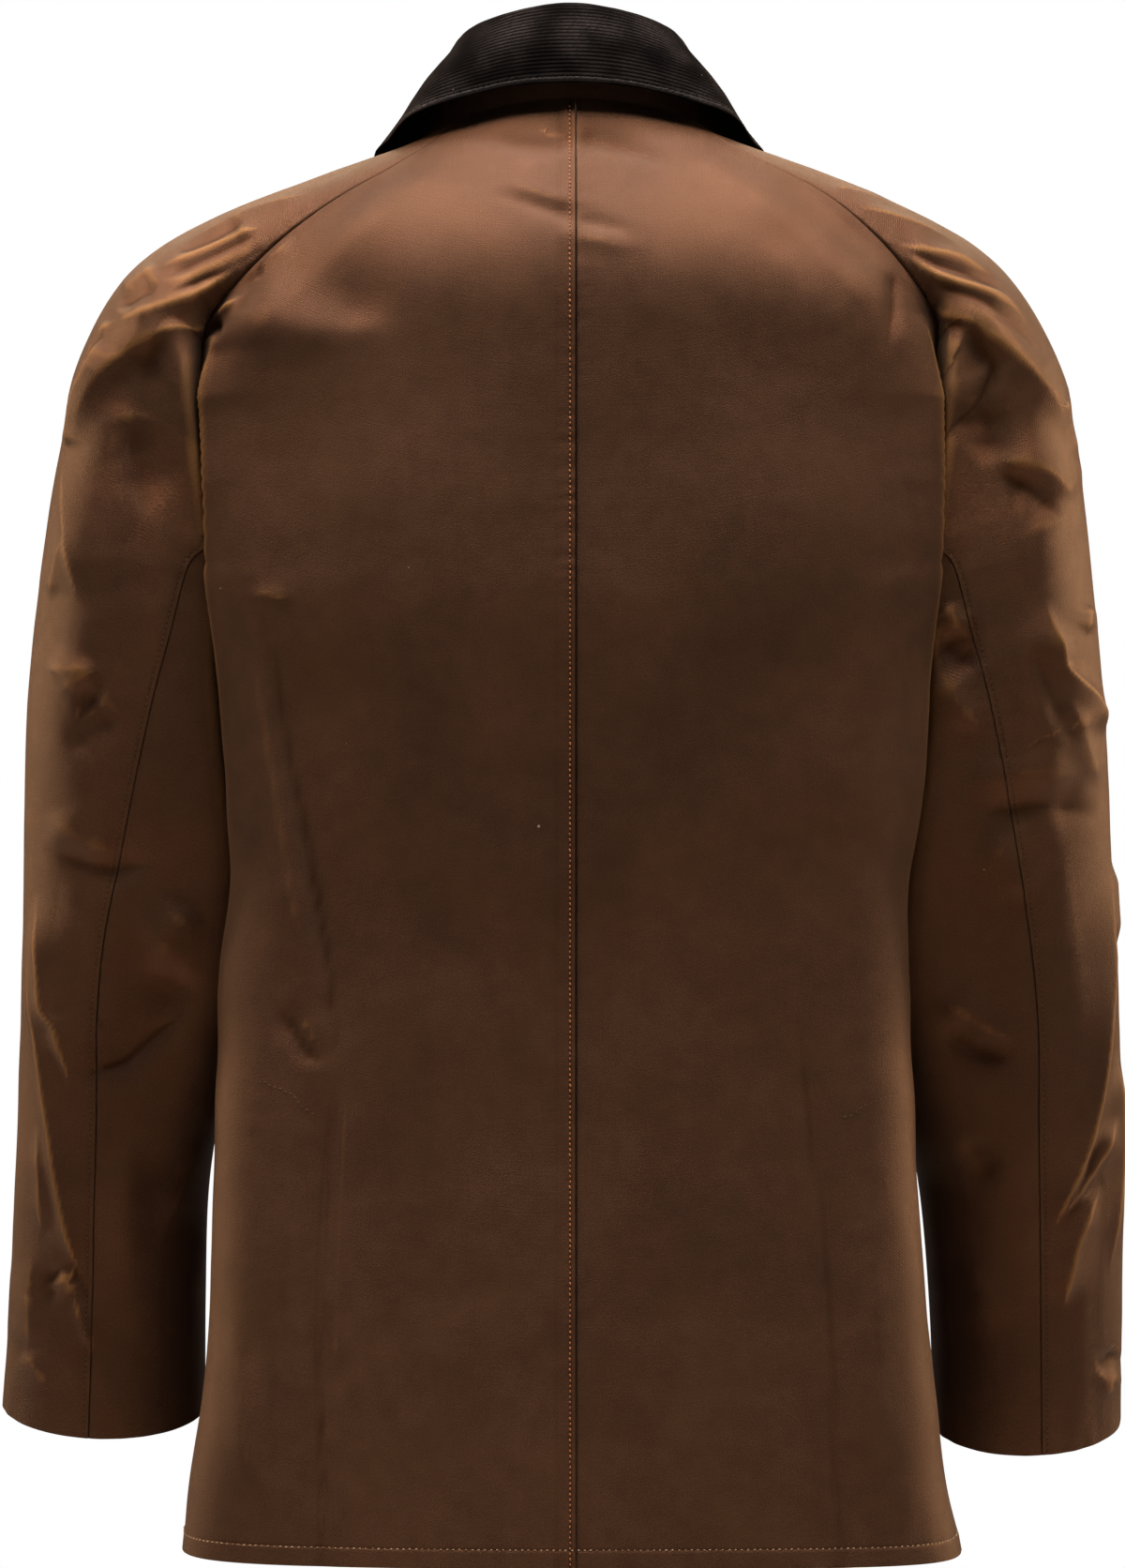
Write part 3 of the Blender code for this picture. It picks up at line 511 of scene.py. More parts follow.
# Folds as they lie in the back view, x to the wearer's left and z up from the nape. height:
# a ridge is positive and a trough negative; left and right: its widths on those sides of its
# path, as one goes along it in a drawing with x to the right; sharp: 1 for a crisp crest and
# 2 for a round one; fades: the shares of its length over which it grows and dies out.
BACK_FOLDS = (
    # height, left, right, sharp, (fade in, out), path
    # the long soft fold down the left side
    (-4.8, 4, 20, 1.2, (0.25, 0.3), ((159, -265), (152, -300), (145, -345), (137, -378),
        (132, -410), (127, -440), (123, -480), (120, -520))),
    (3.4, 14, 8, 1.5, (0.3, 0.3), ((166, -262), (160, -300), (152, -345), (146, -385),
        (141, -420), (136, -460))),
    # its small crease at the top
    (1.7, 5, 4, 1.3, (0.4, 0.4), ((166, -261), (158, -259), (149, -261), (141, -264))),
    # pucker wedge where the raglan seam turns down, and its trough
    (4.2, 4, 4, 1.25, (0.1, 0.4), ((190, -112), (182, -111), (176, -108), (170, -103))),
    (-5.0, 5, 5, 1.3, (0.0, 0.6), ((190, -115), (186, -117), (182, -121), (181, -129))),
    (-4.4, 5, 18, 1.5, (0.2, 0.5), ((181, -119), (181, -133), (180, -153), (178, -178),
        (176, -202))),
    (2.1, 4, 5, 1.4, (0.3, 0.4), ((143, -72), (152, -79), (160, -83), (168, -89), (174, -95))),
    (-2.6, 7, 7, 1.6, (0.2, 0.5), ((159, -86), (165, -89), (169, -95), (164, -101))),
    # the same on the right, softer
    (-2.3, 6, 5, 1.5, (0.2, 0.5), ((-170, -90), (-167, -99), (-165, -111), (-162, -124),
        (-159, -139))),
    (1.8, 12, 10, 1.7, (0.3, 0.5), ((-186, -140), (-183, -190), (-181, -240), (-178, -300))),
    (-1.6, 14, 8, 1.6, (0.4, 0.4), ((-134, -344), (-133, -366), (-131, -400), (-128, -440))),
    # soft troughs beside the centre seam under the collar
    (-3.6, 6, 9, 1.6, (0.0, 0.7), ((0, -20), (-14, -23), (-28, -28), (-44, -35), (-62, -42))),
    (-2.6, 7, 6, 1.7, (0.6, 0.0), ((62, -18), (46, -21), (28, -25), (14, -27), (0, -26))),
    (-1.8, 5, 5, 1.5, (0.7, 0.0), ((46, -56), (34, -57), (22, -60), (10, -64), (0, -66))),
    (1.2, 5, 4, 1.6, (0.6, 0.0), ((42, -49), (28, -51), (14, -56), (0, -60))),
    (-1.8, 4, 5, 1.5, (0.0, 0.7), ((0, -70), (-10, -71), (-22, -74), (-38, -77))),
    (1.3, 5, 5, 1.6, (0.0, 0.7), ((0, -79), (-14, -81), (-26, -84), (-44, -85))),
    # soft hollows across the shoulder blades
    (-4.4, 20, 24, 1.9, (0.4, 0.4), ((160, -86), (130, -98), (104, -110), (84, -124))),
    (3.0, 13, 14, 1.8, (0.3, 0.5), ((178, -112), (150, -122), (118, -126), (92, -120))),
    (-3.0, 22, 22, 1.9, (0.4, 0.4), ((-92, -84), (-118, -78), (-146, -84), (-166, -96))),
    (0.8, 18, 16, 1.8, (0.4, 0.4), ((-60, -104), (-96, -112), (-130, -118), (-160, -132))),
    # where the vent facings end, soft vertical creases down to the hem
    (-3.4, 8, 3, 1.2, (0.2, 0.0), ((121, -492), (121, -520), (124, -560), (127, -610),
        (128, -660), (127, -710), (126, -758))),
    (2.2, 4, 10, 1.5, (0.3, 0.1), ((116, -500), (118, -540), (121, -600), (122, -660))),
    (-2.6, 3, 8, 1.2, (0.2, 0.0), ((-117, -472), (-119, -508), (-126, -560), (-131, -600),
        (-133, -640), (-135, -700), (-137, -758))),
    (2.0, 14, 8, 1.6, (0.4, 0.3), ((-152, -560), (-154, -620), (-155, -680), (-157, -735))),
    # short drags where the vents are tacked
    (-2.8, 5, 8, 1.5, (0.4, 0.3), ((152, -470), (143, -484), (134, -497), (128, -506))),
    (2.2, 4, 6, 1.4, (0.4, 0.3), ((140, -474), (134, -488), (128, -500))),
    (2.2, 8, 8, 1.6, (0.4, 0.3), ((176, -620), (170, -660), (166, -700), (164, -730))),
    (-2.2, 8, 8, 1.6, (0.4, 0.3), ((156, -600), (154, -640), (153, -690), (152, -730))),
    # faint long drags over the seat of the back
    (-1.2, 20, 24, 1.9, (0.4, 0.4), ((60, -300), (72, -360), (80, -430), (84, -500))),
    (1.2, 24, 20, 1.9, (0.4, 0.4), ((-40, -420), (-48, -500), (-52, -590), (-50, -660))),
    (-1.0, 24, 20, 1.9, (0.4, 0.4), ((-78, -280), (-86, -360), (-84, -450), (-92, -540))),
    (1.0, 18, 22, 1.9, (0.4, 0.4), ((44, -540), (50, -600), (58, -660), (60, -720))),
)
SLEEVE_FOLDS_LEFT = (
    # the long ridge from the raglan seam over the upper arm, dark below it
    (6.5, 16, 8, 1.2, (0.45, 0.3), ((171, -110), (185, -117), (199, -120), (209, -121),
        (218, -124), (227, -129), (236, -136), (243, -143), (249, -152), (254, -161),
        (258, -171), (262, -182))),
    (-3.0, 9, 16, 1.7, (0.38, 0.3), ((208, -124), (221, -129), (233, -140), (243, -155),
        (247, -171))),
    (3.1, 5, 6, 1.4, (0.2, 0.3), ((183, -95), (194, -100), (204, -104), (216, -109), (227, -113),
        (237, -116))),
    # thin ridges outboard of it and the trough between them
    (-2.9, 3, 3, 1.3, (0.3, 0.3), ((241, -118), (246, -124), (250, -133), (254, -141))),
    (2.5, 3, 3, 1.3, (0.2, 0.4), ((237, -115), (244, -120), (249, -127), (253, -137),
        (257, -146))),
    (4.4, 3, 6, 1.2, (0.2, 0.1), ((242, -122), (245, -129), (248, -138), (252, -146),
        (256, -153), (259, -162), (262, -170), (266, -180))),
    # the ridge down the outside of the upper arm
    (4.2, 4, 14, 1.15, (0.38, 0.3), ((266, -179), (267, -192), (265, -207), (264, -222),
        (262, -238), (260, -253), (258, -266))),
    (3.1, 4, 5, 1.2, (0.3, 0.3), ((263, -226), (267, -236), (271, -248), (275, -262))),
    # drags from the raglan seam over the shoulder
    (2.0, 5, 4, 1.4, (0.2, 0.4), ((137, -48), (152, -52), (167, -56), (181, -62), (194, -68),
        (204, -73))),
    (-2.7, 4, 4, 1.4, (0.2, 0.3), ((170, -62), (178, -66), (187, -71), (199, -76), (210, -80))),
    (2.5, 4, 4, 1.3, (0.2, 0.4), ((161, -66), (171, -69), (181, -73), (194, -78), (206, -83),
        (218, -88))),
    (-2.7, 4, 4, 1.4, (0.2, 0.3), ((163, -70), (173, -74), (182, -78), (194, -83), (204, -88),
        (215, -94))),
    (2.4, 3, 3, 1.3, (0.1, 0.5), ((156, -75), (163, -78), (171, -82), (178, -86))),
    (-3.4, 3, 4, 1.3, (0.1, 0.3), ((159, -79), (168, -83), (175, -87), (181, -90), (189, -93),
        (201, -98), (211, -102))),
    (3.1, 4, 5, 1.3, (0.1, 0.4), ((163, -84), (172, -88), (179, -92), (188, -97), (199, -103))),
    (-2.9, 5, 5, 1.5, (0.3, 0.3), ((214, -96), (223, -100), (231, -105), (238, -109))),
    (2.2, 4, 4, 1.4, (0.3, 0.3), ((215, -85), (223, -90), (230, -95), (236, -102))),
    # soft trough down the back of the upper arm
    (-3.1, 10, 14, 1.8, (0.4, 0.4), ((238, -164), (229, -182), (224, -198), (222, -220))),
    (2.0, 12, 10, 1.8, (0.4, 0.4), ((214, -190), (212, -230), (214, -270), (218, -310))),
    # above the elbow: a soft band, its hollow and the drag below
    (3.1, 8, 7, 1.6, (0.38, 0.4), ((278, -296), (268, -297), (256, -297), (246, -296))),
    (2.6, 8, 6, 1.4, (0.4, 0.4), ((270, -312), (262, -306), (252, -300), (244, -297))),
    (-2.2, 10, 8, 1.7, (0.4, 0.4), ((262, -311), (254, -312), (246, -318))),
    (-2.7, 12, 10, 1.8, (0.3, 0.4), ((234, -322), (246, -328), (257, -334), (266, -346))),
    # the elbow
    (3.1, 12, 10, 1.7, (0.38, 0.4), ((278, -372), (262, -384), (246, -392), (232, -394))),
    (-4.4, 9, 16, 1.6, (0.38, 0.4), ((282, -392), (268, -397), (252, -401), (234, -402),
        (216, -400))),
    # long crisp ridges down the outside of the forearm
    (6.0, 4, 9, 1.15, (0.3, 0.3), ((284, -414), (281, -437), (278, -461), (276, -478),
        (271, -486), (268, -500), (264, -522))),
    (5.6, 5, 8, 1.15, (0.3, 0.15), ((287, -420), (286, -441), (283, -478), (280, -503),
        (278, -522), (275, -543), (272, -566), (268, -592), (264, -610), (259, -621))),
    (3.6, 5, 5, 1.3, (0.4, 0.3), ((283, -536), (282, -554), (281, -575), (282, -600))),
    (2.4, 8, 6, 1.5, (0.3, 0.3), ((288, -610), (289, -640), (290, -665))),
    (3.7, 10, 6, 1.5, (0.38, 0.4), ((272, -616), (266, -624), (260, -622))),
    (3.1, 4, 6, 1.3, (0.3, 0.4), ((264, -630), (261, -640), (258, -650), (255, -662))),
    (-3.1, 10, 10, 1.7, (0.4, 0.4), ((280, -610), (278, -626), (279, -640))),
    (2.0, 7, 6, 1.5, (0.3, 0.4), ((293, -660), (284, -672), (276, -682))),
    # the dark drag across the inner forearm and the soft swelling above it
    (-4.4, 5, 14, 1.3, (0.38, 0.35), ((262, -514), (247, -509), (236, -505), (228, -498),
        (219, -490), (210, -484), (199, -474))),
    (4.1, 12, 12, 1.8, (0.4, 0.3), ((222, -456), (214, -444), (206, -430), (198, -420))),
    (-3.7, 14, 10, 1.8, (0.38, 0.5), ((204, -452), (210, -468), (222, -486))),
    (2.7, 6, 8, 1.6, (0.3, 0.4), ((196, -543), (203, -560), (210, -577), (218, -603))),
    (2.2, 10, 10, 1.8, (0.4, 0.4), ((232, -540), (236, -580), (234, -630))),
    (2.0, 6, 5, 1.6, (0.4, 0.4), ((196, -590), (194, -610), (195, -640))),
)
SLEEVE_FOLDS_RIGHT = (
    # the long ridge from the raglan seam over the upper arm, dark below it
    (6.5, 8, 15, 1.2, (0.45, 0.2), ((-161, -97), (-174, -103), (-187, -108), (-195, -111),
        (-203, -114), (-211, -118), (-218, -123), (-226, -129), (-233, -136), (-240, -143),
        (-246, -150), (-252, -157), (-257, -166), (-262, -176))),
    (-3.2, 14, 9, 1.7, (0.38, 0.4), ((-197, -118), (-208, -120), (-216, -128), (-221, -140),
        (-224, -155))),
    (1.4, 4, 4, 1.3, (0.2, 0.5), ((-197, -115), (-200, -122), (-199, -132), (-197, -141))),
    # drags above it
    (2.7, 4, 5, 1.3, (0.1, 0.4), ((-161, -74), (-173, -77), (-186, -79), (-199, -81),
        (-213, -86), (-226, -93))),
    (-3.4, 4, 4, 1.3, (0.1, 0.3), ((-166, -77), (-179, -80), (-192, -86), (-205, -90),
        (-217, -94), (-226, -100), (-232, -106))),
    (3.4, 5, 4, 1.25, (0.1, 0.4), ((-171, -81), (-185, -88), (-198, -94), (-210, -98),
        (-221, -102), (-231, -108), (-239, -116), (-244, -124))),
    (-2.7, 5, 5, 1.5, (0.2, 0.3), ((-187, -95), (-199, -99), (-212, -104), (-223, -111),
        (-234, -119), (-242, -130), (-248, -139))),
    (2.5, 4, 4, 1.3, (0.1, 0.4), ((-142, -55), (-154, -57), (-168, -60), (-181, -64),
        (-196, -70), (-208, -77))),
    (-2.5, 4, 4, 1.4, (0.1, 0.4), ((-151, -66), (-163, -70), (-173, -73), (-186, -75))),
    (1.9, 4, 4, 1.4, (0.2, 0.5), ((-136, -45), (-150, -47), (-164, -50), (-176, -54))),
    # small ridge with a hollow below, at the back of the upper arm
    (3.2, 6, 12, 1.25, (0.38, 0.2), ((-222, -187), (-234, -190), (-244, -192), (-253, -196),
        (-260, -202), (-267, -209))),
    (-4.1, 14, 8, 1.7, (0.38, 0.3), ((-221, -196), (-235, -200), (-247, -207), (-259, -220))),
    # dark drag running up from the body's edge, and the ridge beside it
    (-2.8, 8, 4, 1.3, (0.38, 0.4), ((-191, -183), (-198, -174), (-205, -167), (-213, -160),
        (-217, -151), (-221, -141), (-223, -132))),
    (1.2, 4, 9, 1.4, (0.38, 0.3), ((-199, -169), (-208, -162), (-214, -151), (-218, -139),
        (-221, -131))),
    (-3.7, 10, 10, 1.7, (0.38, 0.4), ((-213, -156), (-217, -165), (-219, -177), (-216, -194))),
    # thin ridges at the outer edge
    (2.4, 3, 3, 1.3, (0.2, 0.3), ((-256, -154), (-261, -165), (-265, -176), (-267, -187))),
    # the bent ridge above the elbow
    (6.0, 16, 4, 1.12, (0.3, 0.2), ((-249, -260), (-253, -276), (-257, -288), (-259, -296),
        (-267, -304), (-275, -311), (-281, -322), (-284, -334))),
    (3.1, 4, 4, 1.3, (0.3, 0.4), ((-274, -262), (-273, -270), (-272, -280))),
    (3.1, 8, 5, 1.4, (0.38, 0.3), ((-261, -312), (-268, -327), (-275, -347), (-281, -361))),
    (-3.4, 8, 14, 1.7, (0.4, 0.4), ((-240, -280), (-248, -300), (-258, -320), (-266, -340))),
    # hollows beside the body
    (2.7, 9, 7, 1.6, (0.3, 0.4), ((-193, -296), (-201, -312), (-211, -324), (-218, -334))),
    (2.4, 5, 5, 1.6, (0.3, 0.4), ((-195, -262), (-200, -270), (-208, -282))),
    (-3.7, 10, 12, 1.8, (0.38, 0.4), ((-192, -276), (-204, -290), (-216, -300))),
    # the elbow
    (-4.4, 10, 14, 1.6, (0.4, 0.3), ((-212, -376), (-230, -371), (-250, -369), (-268, -372),
        (-282, -376))),
    (2.7, 12, 10, 1.7, (0.4, 0.3), ((-204, -360), (-226, -354), (-250, -352), (-272, -354))),
    (2.5, 10, 12, 1.8, (0.3, 0.4), ((-216, -384), (-226, -394), (-236, -408), (-244, -424))),
    # long crisp ridges down the outside of the forearm
    (6.0, 8, 4, 1.15, (0.3, 0.2), ((-286, -382), (-286, -406), (-285, -434), (-286, -455),
        (-285, -478), (-283, -506), (-278, -534), (-271, -560), (-261, -583), (-256, -600))),
    (3.2, 3, 3, 1.3, (0.3, 0.3), ((-289, -398), (-290, -420), (-290, -446))),
    (5.0, 6, 4, 1.15, (0.3, 0.3), ((-291, -534), (-284, -552), (-276, -566), (-268, -578),
        (-259, -588))),
    (5.0, 8, 5, 1.2, (0.35, 0.3), ((-284, -570), (-275, -588), (-268, -608), (-263, -640))),
    (4.4, 4, 4, 1.15, (0.2, 0.3), ((-292, -500), (-293, -534), (-293, -566), (-291, -592),
        (-288, -625))),
    (-3.1, 7, 7, 1.6, (0.4, 0.4), ((-282, -540), (-272, -570), (-264, -590))),
    # drags across the inner forearm
    (-3.7, 6, 10, 1.5, (0.38, 0.4), ((-194, -482), (-206, -492), (-219, -500), (-236, -506))),
    (2.7, 8, 8, 1.7, (0.3, 0.4), ((-192, -470), (-206, -478), (-222, -488), (-240, -494))),
    (-2.7, 7, 9, 1.7, (0.4, 0.4), ((-208, -542), (-216, -556), (-228, -574))),
    (2.4, 10, 10, 1.8, (0.4, 0.4), ((-212, -600), (-220, -630), (-222, -660))),
    # the nick above the right cuff
    (-3.1, 4, 5, 1.4, (0.3, 0.3), ((-294, -660), (-288, -668), (-282, -672))),
    (2.0, 4, 4, 1.4, (0.3, 0.3), ((-293, -672), (-289, -680), (-291, -686))),
)
# Folds of the hidden sides, as they lie in the front view.
FRONT_FOLDS = (
    (-2.4, 10, 16, 1.7, (0.2, 0.4), ((168, -190), (150, -230), (140, -280), (136, -340))),
    (1.8, 12, 10, 1.7, (0.2, 0.4), ((178, -200), (164, -250), (156, -310), (152, -370))),
    (-1.8, 14, 12, 1.8, (0.3, 0.4), ((120, -150), (108, -200), (104, -260), (108, -320))),
    (1.4, 14, 14, 1.8, (0.3, 0.4), ((92, -200), (84, -270), (84, -350), (90, -420))),
    (-1.3, 10, 12, 1.7, (0.4, 0.4), ((60, -330), (66, -400), (64, -470))),
    (-1.5, 8, 8, 1.7, (0.2, 0.4), ((146, -118), (126, -128), (104, -134))),
    (1.3, 8, 8, 1.7, (0.2, 0.4), ((154, -132), (132, -142), (110, -150))),
    (-2.2, 16, 10, 1.7, (0.2, 0.4), ((-170, -186), (-156, -226), (-146, -270), (-144, -330))),
    (1.8, 10, 12, 1.7, (0.2, 0.4), ((-180, -206), (-170, -262), (-162, -330), (-158, -390))),
    (-1.6, 12, 14, 1.8, (0.3, 0.4), ((-110, -160), (-98, -220), (-96, -290), (-102, -350))),
    (1.4, 14, 14, 1.8, (0.3, 0.4), ((-74, -240), (-70, -320), (-76, -400), (-84, -470))),
    (-1.4, 8, 8, 1.7, (0.2, 0.4), ((-140, -114), (-118, -124), (-96, -128))),
    (1.2, 8, 8, 1.7, (0.2, 0.4), ((-156, -138), (-134, -146), (-112, -152))),
    (-1.1, 14, 16, 1.8, (0.3, 0.2), ((-120, -560), (-124, -620), (-130, -690), (-132, -750))),
    (-1.1, 16, 14, 1.8, (0.3, 0.2), ((170, -580), (166, -640), (168, -700), (170, -750))),
)
SLEEVE_FRONT_FOLDS = (  # for the left sleeve; the right one has them mirrored and shifted
    (5.5, 18, 8, 1.3, (0.15, 0.3), ((196, -122), (212, -126), (228, -134), (242, -148),
        (252, -166), (260, -190))),
    (-3.8, 16, 12, 1.7, (0.3, 0.3), ((194, -140), (212, -150), (228, -168), (238, -196))),
    (1.8, 6, 6, 1.6, (0.2, 0.5), ((168, -96), (186, -98), (206, -104), (222, -116))),
    (-1.6, 6, 6, 1.6, (0.2, 0.5), ((176, -106), (194, -110), (212, -118), (226, -130))),
    (-3.0, 10, 10, 1.6, (0.1, 0.4), ((196, -262), (212, -268), (228, -282), (240, -300))),
    (2.4, 9, 9, 1.6, (0.1, 0.4), ((192, -284), (208, -292), (226, -308), (240, -328))),
    (-3.4, 8, 12, 1.5, (0.1, 0.3), ((184, -372), (204, -376), (228, -388), (252, -408))),
    (3.0, 8, 9, 1.4, (0.1, 0.3), ((186, -392), (206, -398), (230, -412), (256, -436))),
    (-2.8, 7, 10, 1.5, (0.1, 0.4), ((188, -416), (206, -424), (226, -438))),
    (2.4, 7, 7, 1.4, (0.2, 0.4), ((192, -440), (212, -450), (238, -470), (262, -500))),
    (-2.0, 8, 9, 1.6, (0.2, 0.4), ((196, -500), (216, -516), (238, -540))),
    (2.0, 6, 7, 1.4, (0.3, 0.3), ((276, -470), (272, -510), (264, -550), (254, -586))),
    (1.6, 7, 7, 1.5, (0.3, 0.4), ((214, -560), (222, -600), (226, -650))),
    (-1.6, 8, 8, 1.6, (0.3, 0.4), ((248, -570), (246, -610), (250, -660))),
)
FOLD_SAMPLES = 30                  # points that a fold's smooth path is measured at
FOLD_REACH = 3.4                   # widths past which a fold is flat
FOLD_NARROWEST = 0.4               # share of its width that is left where it fades out


def fold_heights(points, folds):
    """Height that the folds give each point, by its place in the back or front view."""
    flat = points[..., (0, 2)].reshape(-1, 2)
    total = np.zeros(len(flat))
    for height, left, right, sharp, (fade_in, fade_out), path in folds:
        line = even_spline(np.array(path, float), FOLD_SAMPLES)
        reach = FOLD_REACH * max(left, right)
        near = np.all((flat > line.min(0) - reach) & (flat < line.max(0) + reach), axis=1)
        here = flat[near]
        if not len(here):
            continue
        start, step = line[:-1], np.diff(line, axis=0)
        away = here[:, None] - start[None]
        along = np.clip((away * step).sum(2) / (step * step).sum(1), 0, 1)
        gap = away - along[..., None] * step
        distance = np.hypot(gap[..., 0], gap[..., 1])
        best = distance.argmin(1)
        pick = np.arange(len(here))
        cross = step[best, 0] * gap[pick, best, 1] - step[best, 1] * gap[pick, best, 0]
        width = np.where(cross > 0, left, right)
        place = (best + along[pick, best]) / len(step)
        fade = np.ones(len(here))
        if fade_in:
            fade *= smooth(0, fade_in, place)
        if fade_out:
            fade *= smooth(0, fade_out, 1 - place)
        width = width * (FOLD_NARROWEST + (1 - FOLD_NARROWEST) * fade)
        total[near] += height * fade * np.exp(-(distance[pick, best] / width) ** sharp)
    return total.reshape(points.shape[:-1])


def unevenness(points, spacing, seed):
    """Smooth noise of about unit height over a grid of points."""
    shift = Vector((seed * 7.3, seed * 3.1, seed * 5.7))
    flat = (points.reshape(-1, 3) / spacing).tolist()
    return np.array([noise.noise(Vector(p) + shift) for p in flat]).reshape(points.shape[:-1])


def puckers(place, along, away, shift=0):
    """Short ripples square to a sewn line, by distances along it and away from it."""
    rise, pitch, reach, seed = PUCKERS[place]
    seed = seed + shift
    phase = along / pitch * math.tau
    ripple = np.sin(phase + 2.1 * np.sin(phase * 0.23 + seed))
    ripple = ripple + 0.5 * np.sin(phase * 0.61 + 2 * seed)
    strength = 0.5 + 0.5 * np.sin(along / (pitch * 5.3) + 1.7 * seed)
    return rise * (ripple * strength * np.exp(-(away / reach) ** 1.5))


def turned_edge(distance, roll=EDGE_ROLL):
    """How far a sewn edge turns in, by distance from it."""
    depth, width = roll
    return -depth * (1 - np.clip(distance / width, 0, 1)) ** 2


def lap(distance, rise, width):
    """The raised band of a lapped seam or a turned hem, with a crisp outer edge."""
    return rise * (1 - smooth(width - LAP_EDGE[0], width + LAP_EDGE[1], distance))


def groove(distance, inset=STITCH_INSET, dip=GROOVE):
    """The line that stitches draw into the cloth."""
    depth, width = dip
    return -depth * np.exp(-((distance - inset) / width) ** 2)


# ---------------------------------------------------------------- shells

def bend(grid, normals, axis, reach):
    """How sharply a grid bends outwards along an axis at a reach of points, per millimetre."""
    after = np.roll(grid, -reach, axis) - grid
    before = np.roll(grid, reach, axis) - grid
    length_after = np.maximum(np.linalg.norm(after, axis=2), 1e-6)
    length_before = np.maximum(np.linalg.norm(before, axis=2), 1e-6)
    turn = (after / length_after[..., None] + before / length_before[..., None]) * normals
    bent = -2 * turn.sum(2) / (length_after + length_before)
    ends = np.moveaxis(bent, axis, 0)
    ends[:reach] = 0
    ends[-reach:] = 0
    return bent


def crests(grid, normals):
    """-1 in the bottom of a sharp fold to 1 on a sharp crest."""
    total = sum(bend(grid, normals, axis, reach) for axis in (0, 1) for reach in (1, 4))
    return np.tanh(total * CREST_GAIN)


def make_mesh(name, vertices, faces, material, smooth_angle=60):
    """A named object from millimetre points and faces."""
    mesh = bpy.data.meshes.new(name)
    mesh.from_pydata((np.asarray(vertices) * MM).tolist(), [], faces)
    mesh.materials.append(material)
    piece = bpy.data.objects.new(name, mesh)
    bpy.context.scene.collection.objects.link(piece)
    mesh.shade_smooth()
    mesh.set_sharp_from_angle(angle=math.radians(smooth_angle))
    return piece


def add_values(mesh, name, values):
    """Gives a mesh one value at each point, for its material."""
    layer = mesh.attributes.new(name, "FLOAT", "POINT")
    layer.data.foreach_set("value", np.ascontiguousarray(values, dtype=np.float32))


def cells(numbers, keep):
    """Corner numbers of the cells that are kept."""
    corners = (numbers[:-1, :-1], numbers[:-1, 1:], numbers[1:, 1:], numbers[1:, :-1])
    return np.stack([c[keep] for c in corners], axis=1)


def rim_edges(keep):
    """Directed border edges of kept coarse cells, as (row, column) corners of the fine grid."""
    edges = set()
    for i, j in np.argwhere(keep).tolist():
        corners = ((2 * i, 2 * j), (2 * i, 2 * j + 2), (2 * i + 2, 2 * j + 2), (2 * i + 2, 2 * j))
        for start, end in zip(corners, corners[1:] + corners[:1]):
            if (end, start) in edges:
                edges.discard((end, start))
            else:
                edges.add((start, end))
    return sorted(edges)


def shell(name, grid, outward, material, thickness=CLOTH, keep=None, values=None):
    """A closed thin sheet of cloth on a grid of points, with its cut laid out as its UV map.

    Its inside has half as many rows and columns. keep says which of those cells there are.
    """
    normals = normals_of(grid, outward)
    rows, columns = grid.shape[:2]
    inner = (grid - normals * thickness)[::2, ::2]
    if keep is None:
        keep = np.ones((rows // 2, columns // 2), bool)
    outside = np.arange(rows * columns).reshape(rows, columns)
    inside = rows * columns + np.arange(inner.shape[0] * inner.shape[1]).reshape(inner.shape[:2])
    outer_faces = cells(outside, np.repeat(np.repeat(keep, 2, 0), 2, 1))
    inner_faces = cells(inside, keep)[:, ::-1]
    rim = []
    for (r0, c0), (r1, c1) in rim_edges(keep):
        rim.append([outside[r1, c1], outside[(r0 + r1) // 2, (c0 + c1) // 2], outside[r0, c0],
                    inside[r0 // 2, c0 // 2], inside[r1 // 2, c1 // 2]])
    rim = np.array(rim)
    if outward > 0:
        outer_faces, inner_faces, rim = (f[:, ::-1] for f in (outer_faces, inner_faces, rim))
    used = np.zeros(rows * columns + inner[..., 0].size, bool)
    for faces in (outer_faces, inner_faces, rim):
        used[faces.ravel()] = True
    number = np.cumsum(used) - 1
    points = np.concatenate((grid.reshape(-1, 3), inner.reshape(-1, 3)))[used]
    faces = [f for group_faces in (outer_faces, inner_faces, rim)
             for f in number[group_faces].tolist()]
    piece = make_mesh(name, points, faces, material)
    mesh = piece.data

    def both(outer_values, inner_values):
        return np.concatenate((outer_values.ravel(), inner_values.ravel()))[used]

    across, back, down, up = edge_distances(grid)
    corners = np.empty(len(mesh.loops), int)
    mesh.loops.foreach_get("vertex_index", corners)
    layout = mesh.uv_layers.new(name="cut")
    cut = np.stack((both(across, across[::2, ::2]), -both(down, down[::2, ::2])), axis=1)
    layout.data.foreach_set("uv", (cut[corners] * MM).ravel())
    from_sewn = np.minimum(np.minimum(across, back) / RUB_AND_HIGHLIGHT_FREE_SEAM, up / RUB_AND_HIGHLIGHT_FREE_HEM)
    # the crest value lets the material paint crests lighter (rubbed wax and painted highlight) and
    # fold bottoms darker (painted shade)
    crest = crests(grid, normals)
    crest = np.where(crest > 0, crest * smooth(0.4, 1.1, from_sewn), crest)
    add_values(mesh, "crest", both(crest, crest[::2, ::2] * 0))
    for title, known in (values or {}).items():
        add_values(mesh, title, both(known, known[::2, ::2] * 0))
    return piece


# ---------------------------------------------------------------- materials

FLOAT, VECTOR = "NodeSocketFloat", "NodeSocketVector"


def fill(tree, made, **inputs):
    """Sets or links a node's inputs, which are known by name or by number."""
    for title, value in inputs.items():
        title = title.replace("_", " ")
        socket = made.inputs[int(title) if title.isdigit() else title]
        if isinstance(value, bpy.types.NodeSocket):
            tree.links.new(value, socket)
        else:
            socket.default_value = value


